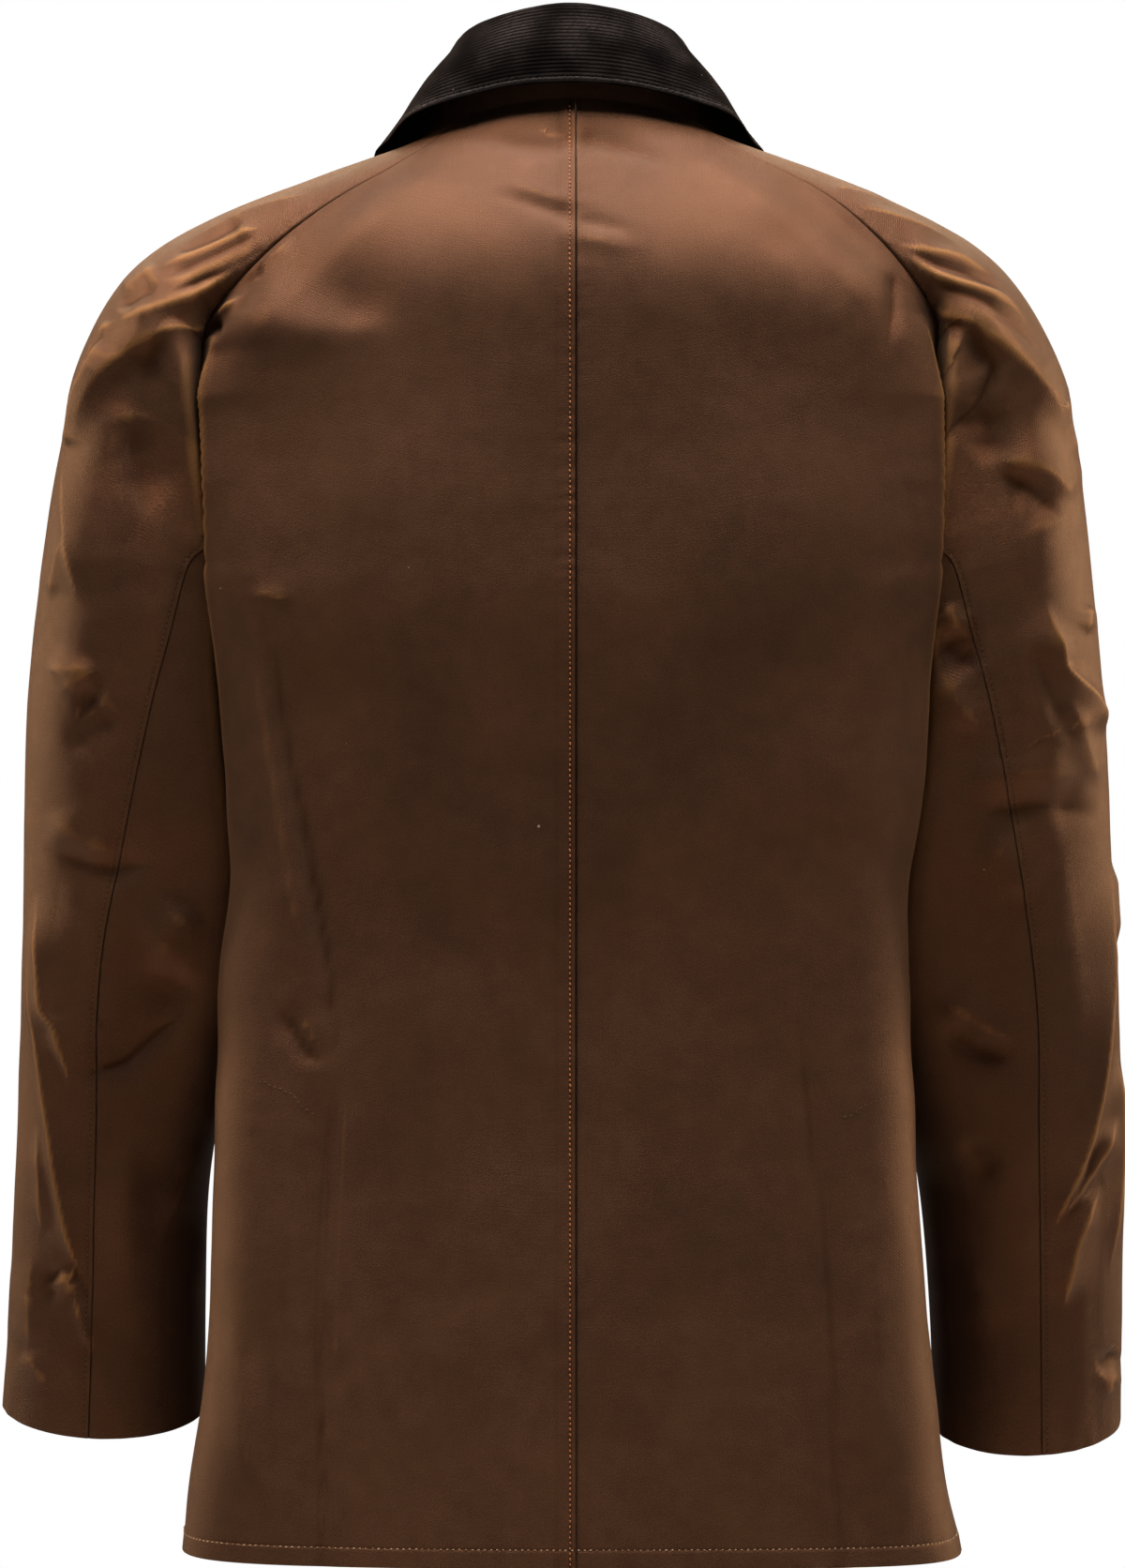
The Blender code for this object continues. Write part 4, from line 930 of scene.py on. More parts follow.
def node(tree, kind, **settings):
    """A new node with settings; a key that starts with in_ sets or links that input."""
    made = tree.nodes.new(kind)
    for key, value in settings.items():
        if key.startswith("in_"):
            fill(tree, made, **{key[3:]: value})
        else:
            setattr(made, key, value)
    return made


def group(name, inputs, outputs):
    """A shader node group with named inputs (name, kind, value) and outputs (name, kind)."""
    tree = bpy.data.node_groups.new(name, "ShaderNodeTree")
    for title, kind, value in inputs:
        socket = tree.interface.new_socket(title, in_out="INPUT", socket_type=kind)
        if value is not None:
            socket.default_value = value
    for title, kind in outputs:
        tree.interface.new_socket(title, in_out="OUTPUT", socket_type=kind)
    return tree, tree.nodes.new("NodeGroupInput").outputs, tree.nodes.new("NodeGroupOutput")


def maths(tree, operation, a, b=None, clamp=False):
    """A Math node; a and b are sockets or numbers. Gives its output socket."""
    made = node(tree, "ShaderNodeMath", operation=operation, use_clamp=clamp, in_0=a)
    if b is not None:
        fill(tree, made, **{"1": b})
    return made.outputs[0]


def weighted(tree, *parts):
    """The sum of sockets, each times its weight."""
    total, *others = [maths(tree, "MULTIPLY", socket, weight) for socket, weight in parts]
    for part in others:
        total = maths(tree, "ADD", total, part)
    return total


def noise_at(tree, vector, scale, detail=2.0, rough=0.5):
    """Noise of about 0.3 to 0.7 at a place."""
    return node(tree, "ShaderNodeTexNoise", in_Vector=vector, in_Scale=scale, in_Detail=detail,
                in_Roughness=rough).outputs["Fac"]


def stretched(tree, vector, scales):
    """A place scaled by its own amount along each axis."""
    return node(tree, "ShaderNodeMapping", in_Vector=vector, in_Scale=scales).outputs["Vector"]


def ramp(tree, factor, stops):
    """A colour ramp over a socket: stops are (position, colour)."""
    made = node(tree, "ShaderNodeValToRGB", in_Fac=factor)
    elements = made.color_ramp.elements
    while len(elements) < len(stops):
        elements.new(0.5)
    for element, (position, colour) in zip(elements, stops):
        element.position = position
        element.color = (*colour, 1)
    return made.outputs["Color"]


def mix(tree, factor, a, b):
    """A colour mix; a and b are sockets or colours."""
    a, b = ((*c, 1) if isinstance(c, tuple) else c for c in (a, b))
    return node(tree, "ShaderNodeMix", data_type="RGBA", in_Factor=factor, in_6=a,
                in_7=b).outputs[2]


def ranged(tree, value, low, high, to_low=0.0, to_high=1.0):
    """A value moved from one range to another and kept inside it."""
    return node(tree, "ShaderNodeMapRange", in_Value=value, in_From_Min=low, in_From_Max=high,
                in_To_Min=to_low, in_To_Max=to_high).outputs["Result"]


def attribute(tree, name):
    """A value that the mesh carries."""
    return node(tree, "ShaderNodeAttribute", attribute_name=name).outputs["Fac"]


def bumped(tree, height, strength, distance):
    """Normals of a fine relief too small for the mesh."""
    return node(tree, "ShaderNodeBump", in_Strength=strength, in_Distance=distance,
                in_Height=height).outputs["Normal"]


def weave_group():
    """Plain weave: the height of its threads and an uneven tone of warp and weft."""
    tree, given, out = group("plain weave", [
        ("Cut", VECTOR, None), ("Threads per metre", FLOAT, 1500.0)],
        [("Height", FLOAT), ("Thread tone", FLOAT), ("Slub", FLOAT)])
    cut = given["Cut"]
    scaled = node(tree, "ShaderNodeVectorMath", operation="SCALE", in_0=cut,
                  in_Scale=given["Threads per metre"])
    parts = node(tree, "ShaderNodeSeparateXYZ", in_0=scaled.outputs[0])
    warp, weft = (maths(tree, "SINE", maths(tree, "MULTIPLY", parts.outputs[axis], math.pi))
                  for axis in "XY")
    lengthways, crossways = (noise_at(tree, stretched(tree, cut, scales), 1, 3)
                             for scales in ((1100, 45, 1), (45, 1100, 1)))
    tone = maths(tree, "MULTIPLY", maths(tree, "ADD", lengthways, crossways), 0.5)
    fill(tree, out, Height=maths(tree, "MULTIPLY", warp, weft), Thread_tone=tone,
         Slub=noise_at(tree, cut, 1300, 2, 0.7))
    return tree


def wax_group():
    """Wax that has settled unevenly: broad and fine patches, from 0 dry to 1 heavy."""
    tree, given, out = group("settled wax", [
        ("Place", VECTOR, None), ("Patch scale", FLOAT, 9.0)],
        [("Patches", FLOAT), ("Mottle", FLOAT), ("Tint", FLOAT)])
    place = given["Place"]
    broad = node(tree, "ShaderNodeTexNoise", in_Vector=place, in_Scale=given["Patch scale"],
                 in_Detail=4.0, in_Roughness=0.55, in_Distortion=0.6)
    fill(tree, out, Patches=broad.outputs["Fac"], Mottle=noise_at(tree, place, 90, 4, 0.6),
         Tint=noise_at(tree, place, 22, 3, 0.5))
    return tree


def lint_group():
    """Sparse specks of lint: 1 on a speck."""
    tree, given, out = group("lint specks", [
        ("Place", VECTOR, None), ("Specks per metre", FLOAT, 60.0), ("Size", FLOAT, 0.045)],
        [("Speck", FLOAT)])
    spots = node(tree, "ShaderNodeTexVoronoi", feature="F1", in_Vector=given["Place"],
                 in_Scale=given["Specks per metre"])
    chosen = node(tree, "ShaderNodeSeparateColor", in_0=spots.outputs["Color"])
    small = maths(tree, "LESS_THAN", spots.outputs["Distance"], given["Size"])
    rare = maths(tree, "GREATER_THAN", chosen.outputs["Red"], LINT_FREE_SHARE)
    fill(tree, out, Speck=maths(tree, "MULTIPLY", small, rare))
    return tree


WEAVE, WAX, LINT = weave_group(), wax_group(), lint_group()
WAXED_DARK = (0.036, 0.0200, 0.0135)
WAXED_MID = (0.055, 0.0306, 0.0200)
WAXED_LIGHT = (0.076, 0.0420, 0.0265)
WAXED_OLIVE = (0.047, 0.0290, 0.0150)
WAXED_RUBBED_AND_PAINTED_HIGHLIGHT = (0.270, 0.138, 0.050)
WAXED_PAINTED_FOLD_SHADE = (0.018, 0.009, 0.0055)
COTTON_LINT = (0.42, 0.33, 0.24)
CORD_DUST = (0.048, 0.038, 0.036)
CORD_FUZZ = (0.075, 0.066, 0.064)
CORD_LINT = (0.20, 0.16, 0.15)
THREADS = {
    # name: dark and light dye
    "rust": ((0.30, 0.09, 0.028), (0.58, 0.20, 0.065)),
    "tan": ((0.30, 0.21, 0.125), (0.56, 0.42, 0.27)),
    "brown": ((0.060, 0.028, 0.014), (0.13, 0.064, 0.030)),
    "black": ((0.010, 0.008, 0.008), (0.05, 0.04, 0.04)),
}


def new_material(name):
    """A material, its tree, its Principled shader and the place on the object."""
    made = bpy.data.materials.new(name)
    made.use_nodes = True
    tree = made.node_tree
    place = node(tree, "ShaderNodeTexCoord").outputs["Object"]
    return made, tree, tree.nodes["Principled BSDF"], place


def laid_flat(tree):
    """The place on the flat cut of a cloth piece, in metres."""
    return node(tree, "ShaderNodeUVMap", uv_map="cut").outputs["UV"]


def waxed_cotton():
    """Brown waxed cotton: uneven wax, crests lighter as rubbed wax and painted highlight, painted
    shade in the folds, fine weave, lint.
    """
    made, tree, shader, place = new_material("brown waxed cotton")
    wax = node(tree, "ShaderNodeGroup", node_tree=WAX, in_Place=place).outputs
    weave = node(tree, "ShaderNodeGroup", node_tree=WEAVE, in_Cut=laid_flat(tree)).outputs
    lint = node(tree, "ShaderNodeGroup", node_tree=LINT, in_Place=place).outputs
    crest = attribute(tree, "crest")
    tone = weighted(tree, (wax["Patches"], 0.55), (wax["Mottle"], 0.25),
                    (weave["Thread tone"], 0.20))
    tone = maths(tree, "ADD", tone, ranged(tree, weave["Slub"], 0.3, 0.7, -0.26, 0.26))
    base = ramp(tree, tone, ((0.34, WAXED_DARK), (0.52, WAXED_MID), (0.68, WAXED_LIGHT)))
    base = mix(tree, ranged(tree, wax["Tint"], 0.4, 0.65, 0.0, 0.35), base, WAXED_OLIVE)
    # sharp crests lighter: partly rubbed wax, partly a painted highlight
    base = mix(tree, ranged(tree, crest, 0.24, 0.98, 0.0, 0.75), base, WAXED_RUBBED_AND_PAINTED_HIGHLIGHT)
    # the bottoms of sharp folds darker: painted shade
    base = mix(tree, ranged(tree, crest, -0.06, -0.6, 0.0, 0.80), base, WAXED_PAINTED_FOLD_SHADE)
    base = mix(tree, lint["Speck"], base, COTTON_LINT)
    relief = weighted(tree, (weave["Height"], 0.35), (weave["Thread tone"], 1.4),
                      (wax["Mottle"], 1.2), (weave["Slub"], 2.4))
    fill(tree, shader, Base_Color=base,
         Roughness=ranged(tree, wax["Mottle"], 0.35, 0.65, 0.41, 0.50),
         Specular_IOR_Level=ranged(tree, wax["Patches"], 0.35, 0.65, 0.43, 0.58),
         Specular_Tint=(1.0, 0.32, 0.08, 1), Sheen_Weight=0.05, Sheen_Roughness=0.35,
         Sheen_Tint=(0.85, 0.52, 0.26, 1), Normal=bumped(tree, relief, 0.50, 0.0003))
    return made


def corduroy():
    """Near-black fine corduroy: napped wales with painted shade in their grooves and painted light
    on their crowns, dusty crowns and lint.
    """
    made, tree, shader, place = new_material("near-black corduroy")
    wale = attribute(tree, "wale")
    dust = noise_at(tree, place, 26, 4, 0.6)
    nap = noise_at(tree, stretched(tree, laid_flat(tree), (420, 900, 1)), 1, 3, 0.6)
    lint = node(tree, "ShaderNodeGroup", node_tree=LINT, in_Place=place,
                in_Specks_per_metre=260.0, in_Size=0.11).outputs
    # the wales' grooves painted dark and their crowns light: painted shade and painted highlight
    base = ramp(tree, wale, ((0.0, (0.0006, 0.0005, 0.0005)), (0.5, (0.0026, 0.0020, 0.0019)),
                             (1.0, (0.0120, 0.0092, 0.0085))))
    dusty = maths(tree, "MULTIPLY", ranged(tree, dust, 0.45, 0.75),
                  ranged(tree, nap, 0.35, 0.62), clamp=True)
    dusty = maths(tree, "MULTIPLY", dusty, ranged(tree, wale, 0.3, 1.0, 0.1, 1.0))
    base = mix(tree, dusty, base, CORD_DUST)
    fuzz = maths(tree, "MULTIPLY", attribute(tree, "edge nap"), ranged(tree, nap, 0.35, 0.6))
    base = mix(tree, fuzz, base, CORD_FUZZ)
    base = mix(tree, maths(tree, "MULTIPLY", lint["Speck"], 0.5), base, CORD_LINT)
    fill(tree, shader, Base_Color=base, Roughness=0.92, Specular_IOR_Level=0.025,
         Sheen_Weight=0.02, Sheen_Roughness=0.5, Sheen_Tint=(0.30, 0.24, 0.24, 1),
         Normal=bumped(tree, nap, 0.8, 0.0004))
    return made


def thread(name, dark, light):
    """Twisted sewing thread: a fine oblique twist and an uneven dye."""
    made, tree, shader, place = new_material(name)
    dye = noise_at(tree, place, 160, 2)
    twist = node(tree, "ShaderNodeTexWave", in_Vector=stretched(tree, place, (1, 1, 1.3)),
                 in_Scale=1400.0, in_Distortion=1.0).outputs["Fac"]
    base = ramp(tree, dye, ((0.35, dark), (0.65, light)))
    base = mix(tree, maths(tree, "MULTIPLY", twist, 0.35), base, dark)
    fill(tree, shader, Base_Color=base, Roughness=0.6, Normal=bumped(tree, twist, 0.4, 0.0001))
    return made


def stud_brass():
    """Aged brass: unevenly darkened and finely scratched."""
    made, tree, shader, place = new_material("aged brass")
    age = noise_at(tree, place, 420, 4, 0.6)
    scratch = noise_at(tree, stretched(tree, place, (5200, 260, 700)), 1, 2)
    base = ramp(tree, age, ((0.35, (0.11, 0.066, 0.030)), (0.65, (0.36, 0.235, 0.105))))
    fill(tree, shader, Base_Color=base, Roughness=ranged(tree, scratch, 0.3, 0.7, 0.28, 0.5),
         Metallic=1.0, Normal=bumped(tree, scratch, 0.25, 0.00008))
    return made


def pale_floor():
    """Pale, almost even floor."""
    made, tree, shader, place = new_material("pale floor")
    shade = ramp(tree, noise_at(tree, place, 3, 3), ((0.3, (0.80, 0.80, 0.80)),
                                                     (0.7, (0.86, 0.86, 0.855))))
    fill(tree, shader, Base_Color=shade, Roughness=0.8)
    return made


# ---------------------------------------------------------------- stitches

def stitch_tree():
    """Geometry Nodes that lay single stitches along a line, each lying on the cloth."""
    tree = bpy.data.node_groups.new("stitch line", "GeometryNodeTree")
    sockets = {}
    for title, kind, value in (
            ("Line", "NodeSocketGeometry", None), ("Pitch", FLOAT, 0.0028),
            ("Stitch length", FLOAT, 0.0019), ("Thread radius", FLOAT, 0.00028),
            ("Unevenness", FLOAT, 0.00012), ("Slant", FLOAT, 0.15),
            ("Seed", "NodeSocketInt", 1), ("Thread", "NodeSocketMaterial", None)):
        socket = tree.interface.new_socket(title, in_out="INPUT", socket_type=kind)
        if value is not None:
            socket.default_value = value
        sockets[title] = socket.identifier
    tree.interface.new_socket("Stitches", in_out="OUTPUT", socket_type="NodeSocketGeometry")
    given = tree.nodes.new("NodeGroupInput").outputs
    line = node(tree, "GeometryNodeMeshToCurve", in_Mesh=given["Line"])
    spaced = node(tree, "GeometryNodeCurveToPoints", mode="LENGTH",
                  in_Curve=line.outputs["Curve"], in_Length=given["Pitch"])
    # each stitch lies along the line, its flat side on the cloth, turned a little at random
    up = node(tree, "GeometryNodeInputNamedAttribute", data_type="FLOAT_VECTOR", in_Name="up")
    lay = node(tree, "FunctionNodeAlignRotationToVector", axis="X",
               in_Vector=spaced.outputs["Tangent"])
    stand = node(tree, "FunctionNodeAlignRotationToVector", axis="Z", pivot_axis="X",
                 in_Rotation=lay.outputs["Rotation"], in_Vector=up.outputs["Attribute"])
    slant = node(tree, "FunctionNodeRandomValue", data_type="FLOAT",
                 in_2=maths(tree, "MULTIPLY", given["Slant"], -0.4), in_3=given["Slant"],
                 in_Seed=given["Seed"])
    about = node(tree, "FunctionNodeAxisAngleToRotation", in_Axis=(0, 0, 1),
                 in_Angle=slant.outputs[1])
    turned = node(tree, "FunctionNodeRotateRotation", rotation_space="LOCAL",
                  in_Rotation=stand.outputs["Rotation"], in_Rotate_By=about.outputs["Rotation"])
    # a stitch is a long round bead
    bead = node(tree, "GeometryNodeMeshUVSphere", in_Segments=6, in_Rings=4, in_Radius=1.0)
    sizes = node(tree, "ShaderNodeCombineXYZ",
                 in_X=maths(tree, "MULTIPLY", given["Stitch length"], 0.5),
                 in_Y=given["Thread radius"], in_Z=given["Thread radius"])
    stitch = node(tree, "GeometryNodeTransform", in_Geometry=bead.outputs["Mesh"],
                  in_Scale=sizes.outputs[0])
    # its place and size are uneven
    jitter = node(tree, "FunctionNodeRandomValue", data_type="FLOAT_VECTOR",
                  in_0=(-1, -1, -0.3), in_1=(1, 1, 0.3), in_Seed=given["Seed"])
    shift = node(tree, "ShaderNodeVectorMath", operation="SCALE", in_0=jitter.outputs[0],
                 in_Scale=given["Unevenness"])
    moved = node(tree, "GeometryNodeSetPosition", in_Geometry=spaced.outputs["Points"],
                 in_Offset=shift.outputs[0])
    size = node(tree, "FunctionNodeRandomValue", data_type="FLOAT", in_2=0.78, in_3=1.1,
                in_Seed=given["Seed"])
    placed = node(tree, "GeometryNodeInstanceOnPoints", in_Points=moved.outputs["Geometry"],
                  in_Instance=stitch.outputs["Geometry"], in_Rotation=turned.outputs["Rotation"],
                  in_Scale=size.outputs[1])
    real = node(tree, "GeometryNodeRealizeInstances", in_Geometry=placed.outputs["Instances"])
    shade = node(tree, "GeometryNodeSetShadeSmooth", in_Geometry=real.outputs["Geometry"])
    paint = node(tree, "GeometryNodeSetMaterial", in_Geometry=shade.outputs["Geometry"],
                 in_Material=given["Thread"])
    node(tree, "NodeGroupOutput", in_Stitches=paint.outputs["Geometry"])
    return tree, sockets


STITCH_TREE, STITCH_SOCKETS = stitch_tree()


def sew(place, lines, thread_material):
    """One mesh of the stitches of a place, on the cloth of the solid called on.

    A line is its points and the cloth's normals there, in millimetres.
    """
    name = f"{place}_stitches"
    vertices, ups, edges = [], [], []
    for points, normals in lines:
        first = len(vertices)
        vertices += (points * MM).tolist()
        ups += normals.tolist()
        edges += [(first + i, first + i + 1) for i in range(len(points) - 1)]
    mesh = bpy.data.meshes.new(name)
    mesh.from_pydata(vertices, edges, [])
    layer = mesh.attributes.new("up", "FLOAT_VECTOR", "POINT")
    layer.data.foreach_set("vector", np.array(ups, dtype=np.float32).ravel())
    guide = bpy.data.objects.new(name + "_line", mesh)
    bpy.context.scene.collection.objects.link(guide)
    modifier = guide.modifiers.new("stitches", "NODES")
    modifier.node_group = STITCH_TREE
    pitch, length, radius, uneven, slant, seed = STITCH_ROWS[place]
    for title, value in (("Pitch", pitch * MM), ("Stitch length", length * MM),
                         ("Thread radius", radius * MM), ("Unevenness", uneven * MM),
                         ("Slant", slant), ("Seed", seed), ("Thread", thread_material)):
        modifier[STITCH_SOCKETS[title]] = value
    depsgraph = bpy.context.evaluated_depsgraph_get()
    made = bpy.data.meshes.new_from_object(guide.evaluated_get(depsgraph),
                                           preserve_all_data_layers=True, depsgraph=depsgraph)
    made.name = name
    bpy.data.objects.remove(guide)
    piece = bpy.data.objects.new(name, made)
    bpy.context.scene.collection.objects.link(piece)
    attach(piece, "root")


# ---------------------------------------------------------------- the pieces' surfaces

def panel_grid(lines, rows, shares):
    """Grid of a body panel with extra columns along both edges, and its places across."""
    one = np.ones(len(rows))
    places = crowded(0 * one, one, lambda s: section(*lines, s), shares)
    return section(*lines, places), places


def side_fold(from_side, seam_depth, level):
    """The crisp vertical fold at which each back panel turns round to its side seam."""
    apart = from_side - (SIDE_FOLD_DEPTH - seam_depth) * SIDE_FOLD_STRETCH
    width, sharp = (np.where(apart > 0, *pair) for pair in (SIDE_FOLD_WIDTHS, SIDE_FOLD_SHARP))
    return np.interp(level, *zip(*SIDE_FOLD_HEIGHTS)) * np.exp(-(np.abs(apart) / width) ** sharp)


def back_surface(side, rows):
    """Surface of a back panel with its folds, the lapped centre seam, the hem and the vent."""
    sign = SIDES[side]
    lines = back_lines(side, rows)
    grid, shares = panel_grid(lines, rows, BACK_SHARES)
    squareness = SQUARENESS * smooth(*SQUARE_ROWS, rows)
    squareness += HEM_SQUARENESS * smooth(*HEM_SQUARE_ROWS, rows)
    reach = squarer(shares, squareness[:, None])
    edge_depth = lines[2][:, 1:2]
    grid[..., 0] *= reach
    grid[..., 1] = edge_depth + (grid[..., 1] - edge_depth) * reach
    grid[..., 0] += BACK_SEAM_SHIFT * (1 - shares) ** 2
    normals = normals_of(grid, -sign)
    from_centre, from_side, down, from_hem = edge_distances(grid)
    vent = smooth(VENT_ROW - 0.3, VENT_ROW + 0.3, rows)[:, None]
    height = fold_heights(grid, BACK_FOLDS) * facing(normals[..., 1])
    height *= np.maximum(smooth(0, SEAM_ROOM, from_side), vent)
    whole = smooth(0, CENTRE_SEAM_ROOM, from_centre)
    height *= CENTRE_SEAM_SHARE + (1 - CENTRE_SEAM_SHARE) * whole
    height *= smooth(0, NECK_ROOM, down)
    height += side_fold(from_side, grid[:, -1:, 1], grid[..., 2])
    fullness = sum(rise * np.exp(-((grid[..., 2] - level) / spread) ** 2)
                   for rise, level, spread in FULLNESS)
    height += fullness * smooth(0, FULLNESS_ROOM, from_side)
    for rise, spacing, seed, room in BACK_UNEVENNESS:
        height += rise * unevenness(grid, spacing, seed) * smooth(0, room, from_side)
    height += puckers("centre seam", down, from_centre, sign)
    height += puckers("back hem", from_centre, np.abs(from_hem - HEM_DEPTH), sign)
    if side == "left":
        height += lap(from_centre, *SEAM_LAP) + groove(from_centre)
    else:
        height += UNDER_SEAM_ROLL * turned_edge(from_centre)
    height += lap(from_hem, HEM_RISE, HEM_DEPTH) + groove(from_hem, HEM_DEPTH)
    height += (1 - vent) * turned_edge(from_side)
    height += vent * (lap(from_side, *VENT_LAP) + groove(from_side, VENT_STITCH_INSET))
    return grid + normals * height[..., None]


def front_surface(side, rows, back_grid):
    """Surface of a front panel, whose vent edge runs on under the back, and which cells it has."""
    sign = SIDES[side]
    grid, _ = panel_grid(front_lines(side, rows), rows, FRONT_SHARES)
    normals = normals_of(grid, sign)
    from_centre, from_side, down, from_hem = edge_distances(grid)
    vent = smooth(VENT_ROW, VENT_ROW + 1.0, rows)[:, None]
    height = fold_heights(grid, FRONT_FOLDS) * facing(-normals[..., 1])
    height *= (smooth(0, SEAM_ROOM, from_side) * smooth(*BESIDE_FLY, from_centre)
               * smooth(0, NECK_ROOM, down))
    rise, spacing, seed, room = FRONT_UNEVENNESS
    height += (rise * unevenness(grid, spacing, seed) * smooth(0, room, from_side)
               * smooth(*UNDER_FLY, from_centre))
    height += puckers("front hem", from_centre, np.abs(from_hem - HEM_DEPTH), sign)
    height += lap(from_hem, HEM_RISE, HEM_DEPTH) + groove(from_hem, HEM_DEPTH)
    height += (1 - vent) * turned_edge(from_side)
    under = CLOTH + 3 * LAYER_GAP
    height -= vent * under * (1 - smooth(0, UNDERLAP_SINK, from_side))
    grid = grid + normals * height[..., None]
    back_normals = normals_of(back_grid, -sign)
    back_side = edge_distances(back_grid)[1]
    extra = []
    for distance in np.linspace(UNDERLAP / UNDERLAP_CELLS, UNDERLAP, UNDERLAP_CELLS):
        column = [[np.interp(distance, d[::-1], (g[::-1, i] - n[::-1, i] * under))
                   for d, g, n in zip(back_side, back_grid, back_normals)] for i in range(3)]
        extra.append(np.array(column).T)
    keep = np.ones((len(rows) // 2, (grid.shape[1] + UNDERLAP_CELLS) // 2), bool)
    keep[:, grid.shape[1] // 2:] = (rows[:-2:2] > VENT_ROW)[:, None]
    return np.concatenate((grid, np.stack(extra, 1)), axis=1), keep


def sleeve_folds(side):
    """The folds of a sleeve's back and front; the right front has the left's mirrored."""
    if side == "left":
        return SLEEVE_FOLDS_LEFT, SLEEVE_FRONT_FOLDS
    mirrored = [(height, right, left, sharp, fades,
                 [(-FRONT_FOLD_SCALE * x, z - FRONT_FOLD_DROP) for x, z in path])
                for height, left, right, sharp, fades, path in SLEEVE_FRONT_FOLDS]
    return SLEEVE_FOLDS_RIGHT, mirrored


def sleeve_surfaces(side, rows):
    """Surfaces of the top and the under sleeve."""
    sign = SIDES[side]
    behind, ahead = sleeve_folds(side)
    surfaces = {}
    for name, shares in (("top", TOP_SHARES), ("under", UNDER_SHARES)):
        own = rows if name == "top" else rows[rows > BACK_SEAM_ROW + 0.1]
        own = own if len(own) % 2 else own[1:]
        lines = sleeve_lines(side, own)
        numbers = lines[2]
        if name == "top":
            start, finish = numbers[:, 8], -numbers[:, 6]
        else:
            start, finish = numbers[:, 5], numbers[:, 8]
        angles = crowded(start, finish, lambda a: sleeve_points(lines, a), shares)
        grid = sleeve_points(lines, angles)
        normals = normals_of(grid, -sign)
        from_start, from_finish, down, from_cuff = edge_distances(grid)
        above = (own <= UNDERARM_ROW)[:, None]
        seamed = (own > BACK_SEAM_ROW)[:, None]
        height = (fold_heights(grid, behind) * smooth(*SLEEVE_BACK_TURNS, angles)
                  + fold_heights(grid, ahead) * smooth(*SLEEVE_FRONT_TURNS, -angles))
        height += sum(rise * unevenness(grid, spacing, seed + sign)
                      for rise, spacing, seed in SLEEVE_UNEVENNESS)
        if name == "top":
            raglan = np.where(seamed, FAR, from_start)
            inner = from_finish
            seam = np.where(seamed, from_start, FAR)
        else:
            raglan = np.where(above, from_start, FAR)
            inner = from_start
            seam = from_finish
        height *= smooth(0, SLEEVE_SEAM_ROOM, raglan) * smooth(0, SLEEVE_SEAM_ROOM, inner)
        if name == "top":
            height *= smooth(0, NECK_ROOM, down)
        seam_down = lengths_along(grid[:, :1], 0)
        height += puckers("raglan seam", seam_down, raglan)
        height += puckers("sleeve seam", seam_down, seam, sign)
        height += puckers("cuff", from_start, from_cuff, sign)
        height += turned_edge(raglan) + turned_edge(inner)
        if name == "top":
            height += TOP_SEAM_RISE * np.exp(-seam / TOP_SEAM_SPREAD) + 0.5 * groove(seam)
        else:
            height += turned_edge(seam)
        surfaces[name] = grid + normals * height[..., None]
    return surfaces


def neck_line(backs, tops, fronts):
    """The neck seam from the left front end round the back to the right, evenly spaced."""
    halves = []
    for side in SIDES:
        front = fronts[side][0][:-UNDERLAP_CELLS]
        halves.append(np.concatenate((backs[side][0], tops[side][0][1:-1], front[::-1])))
    return evenly(np.concatenate((halves[0][::-1], halves[1][1:])), COLLAR_STATIONS, COLLAR_END)


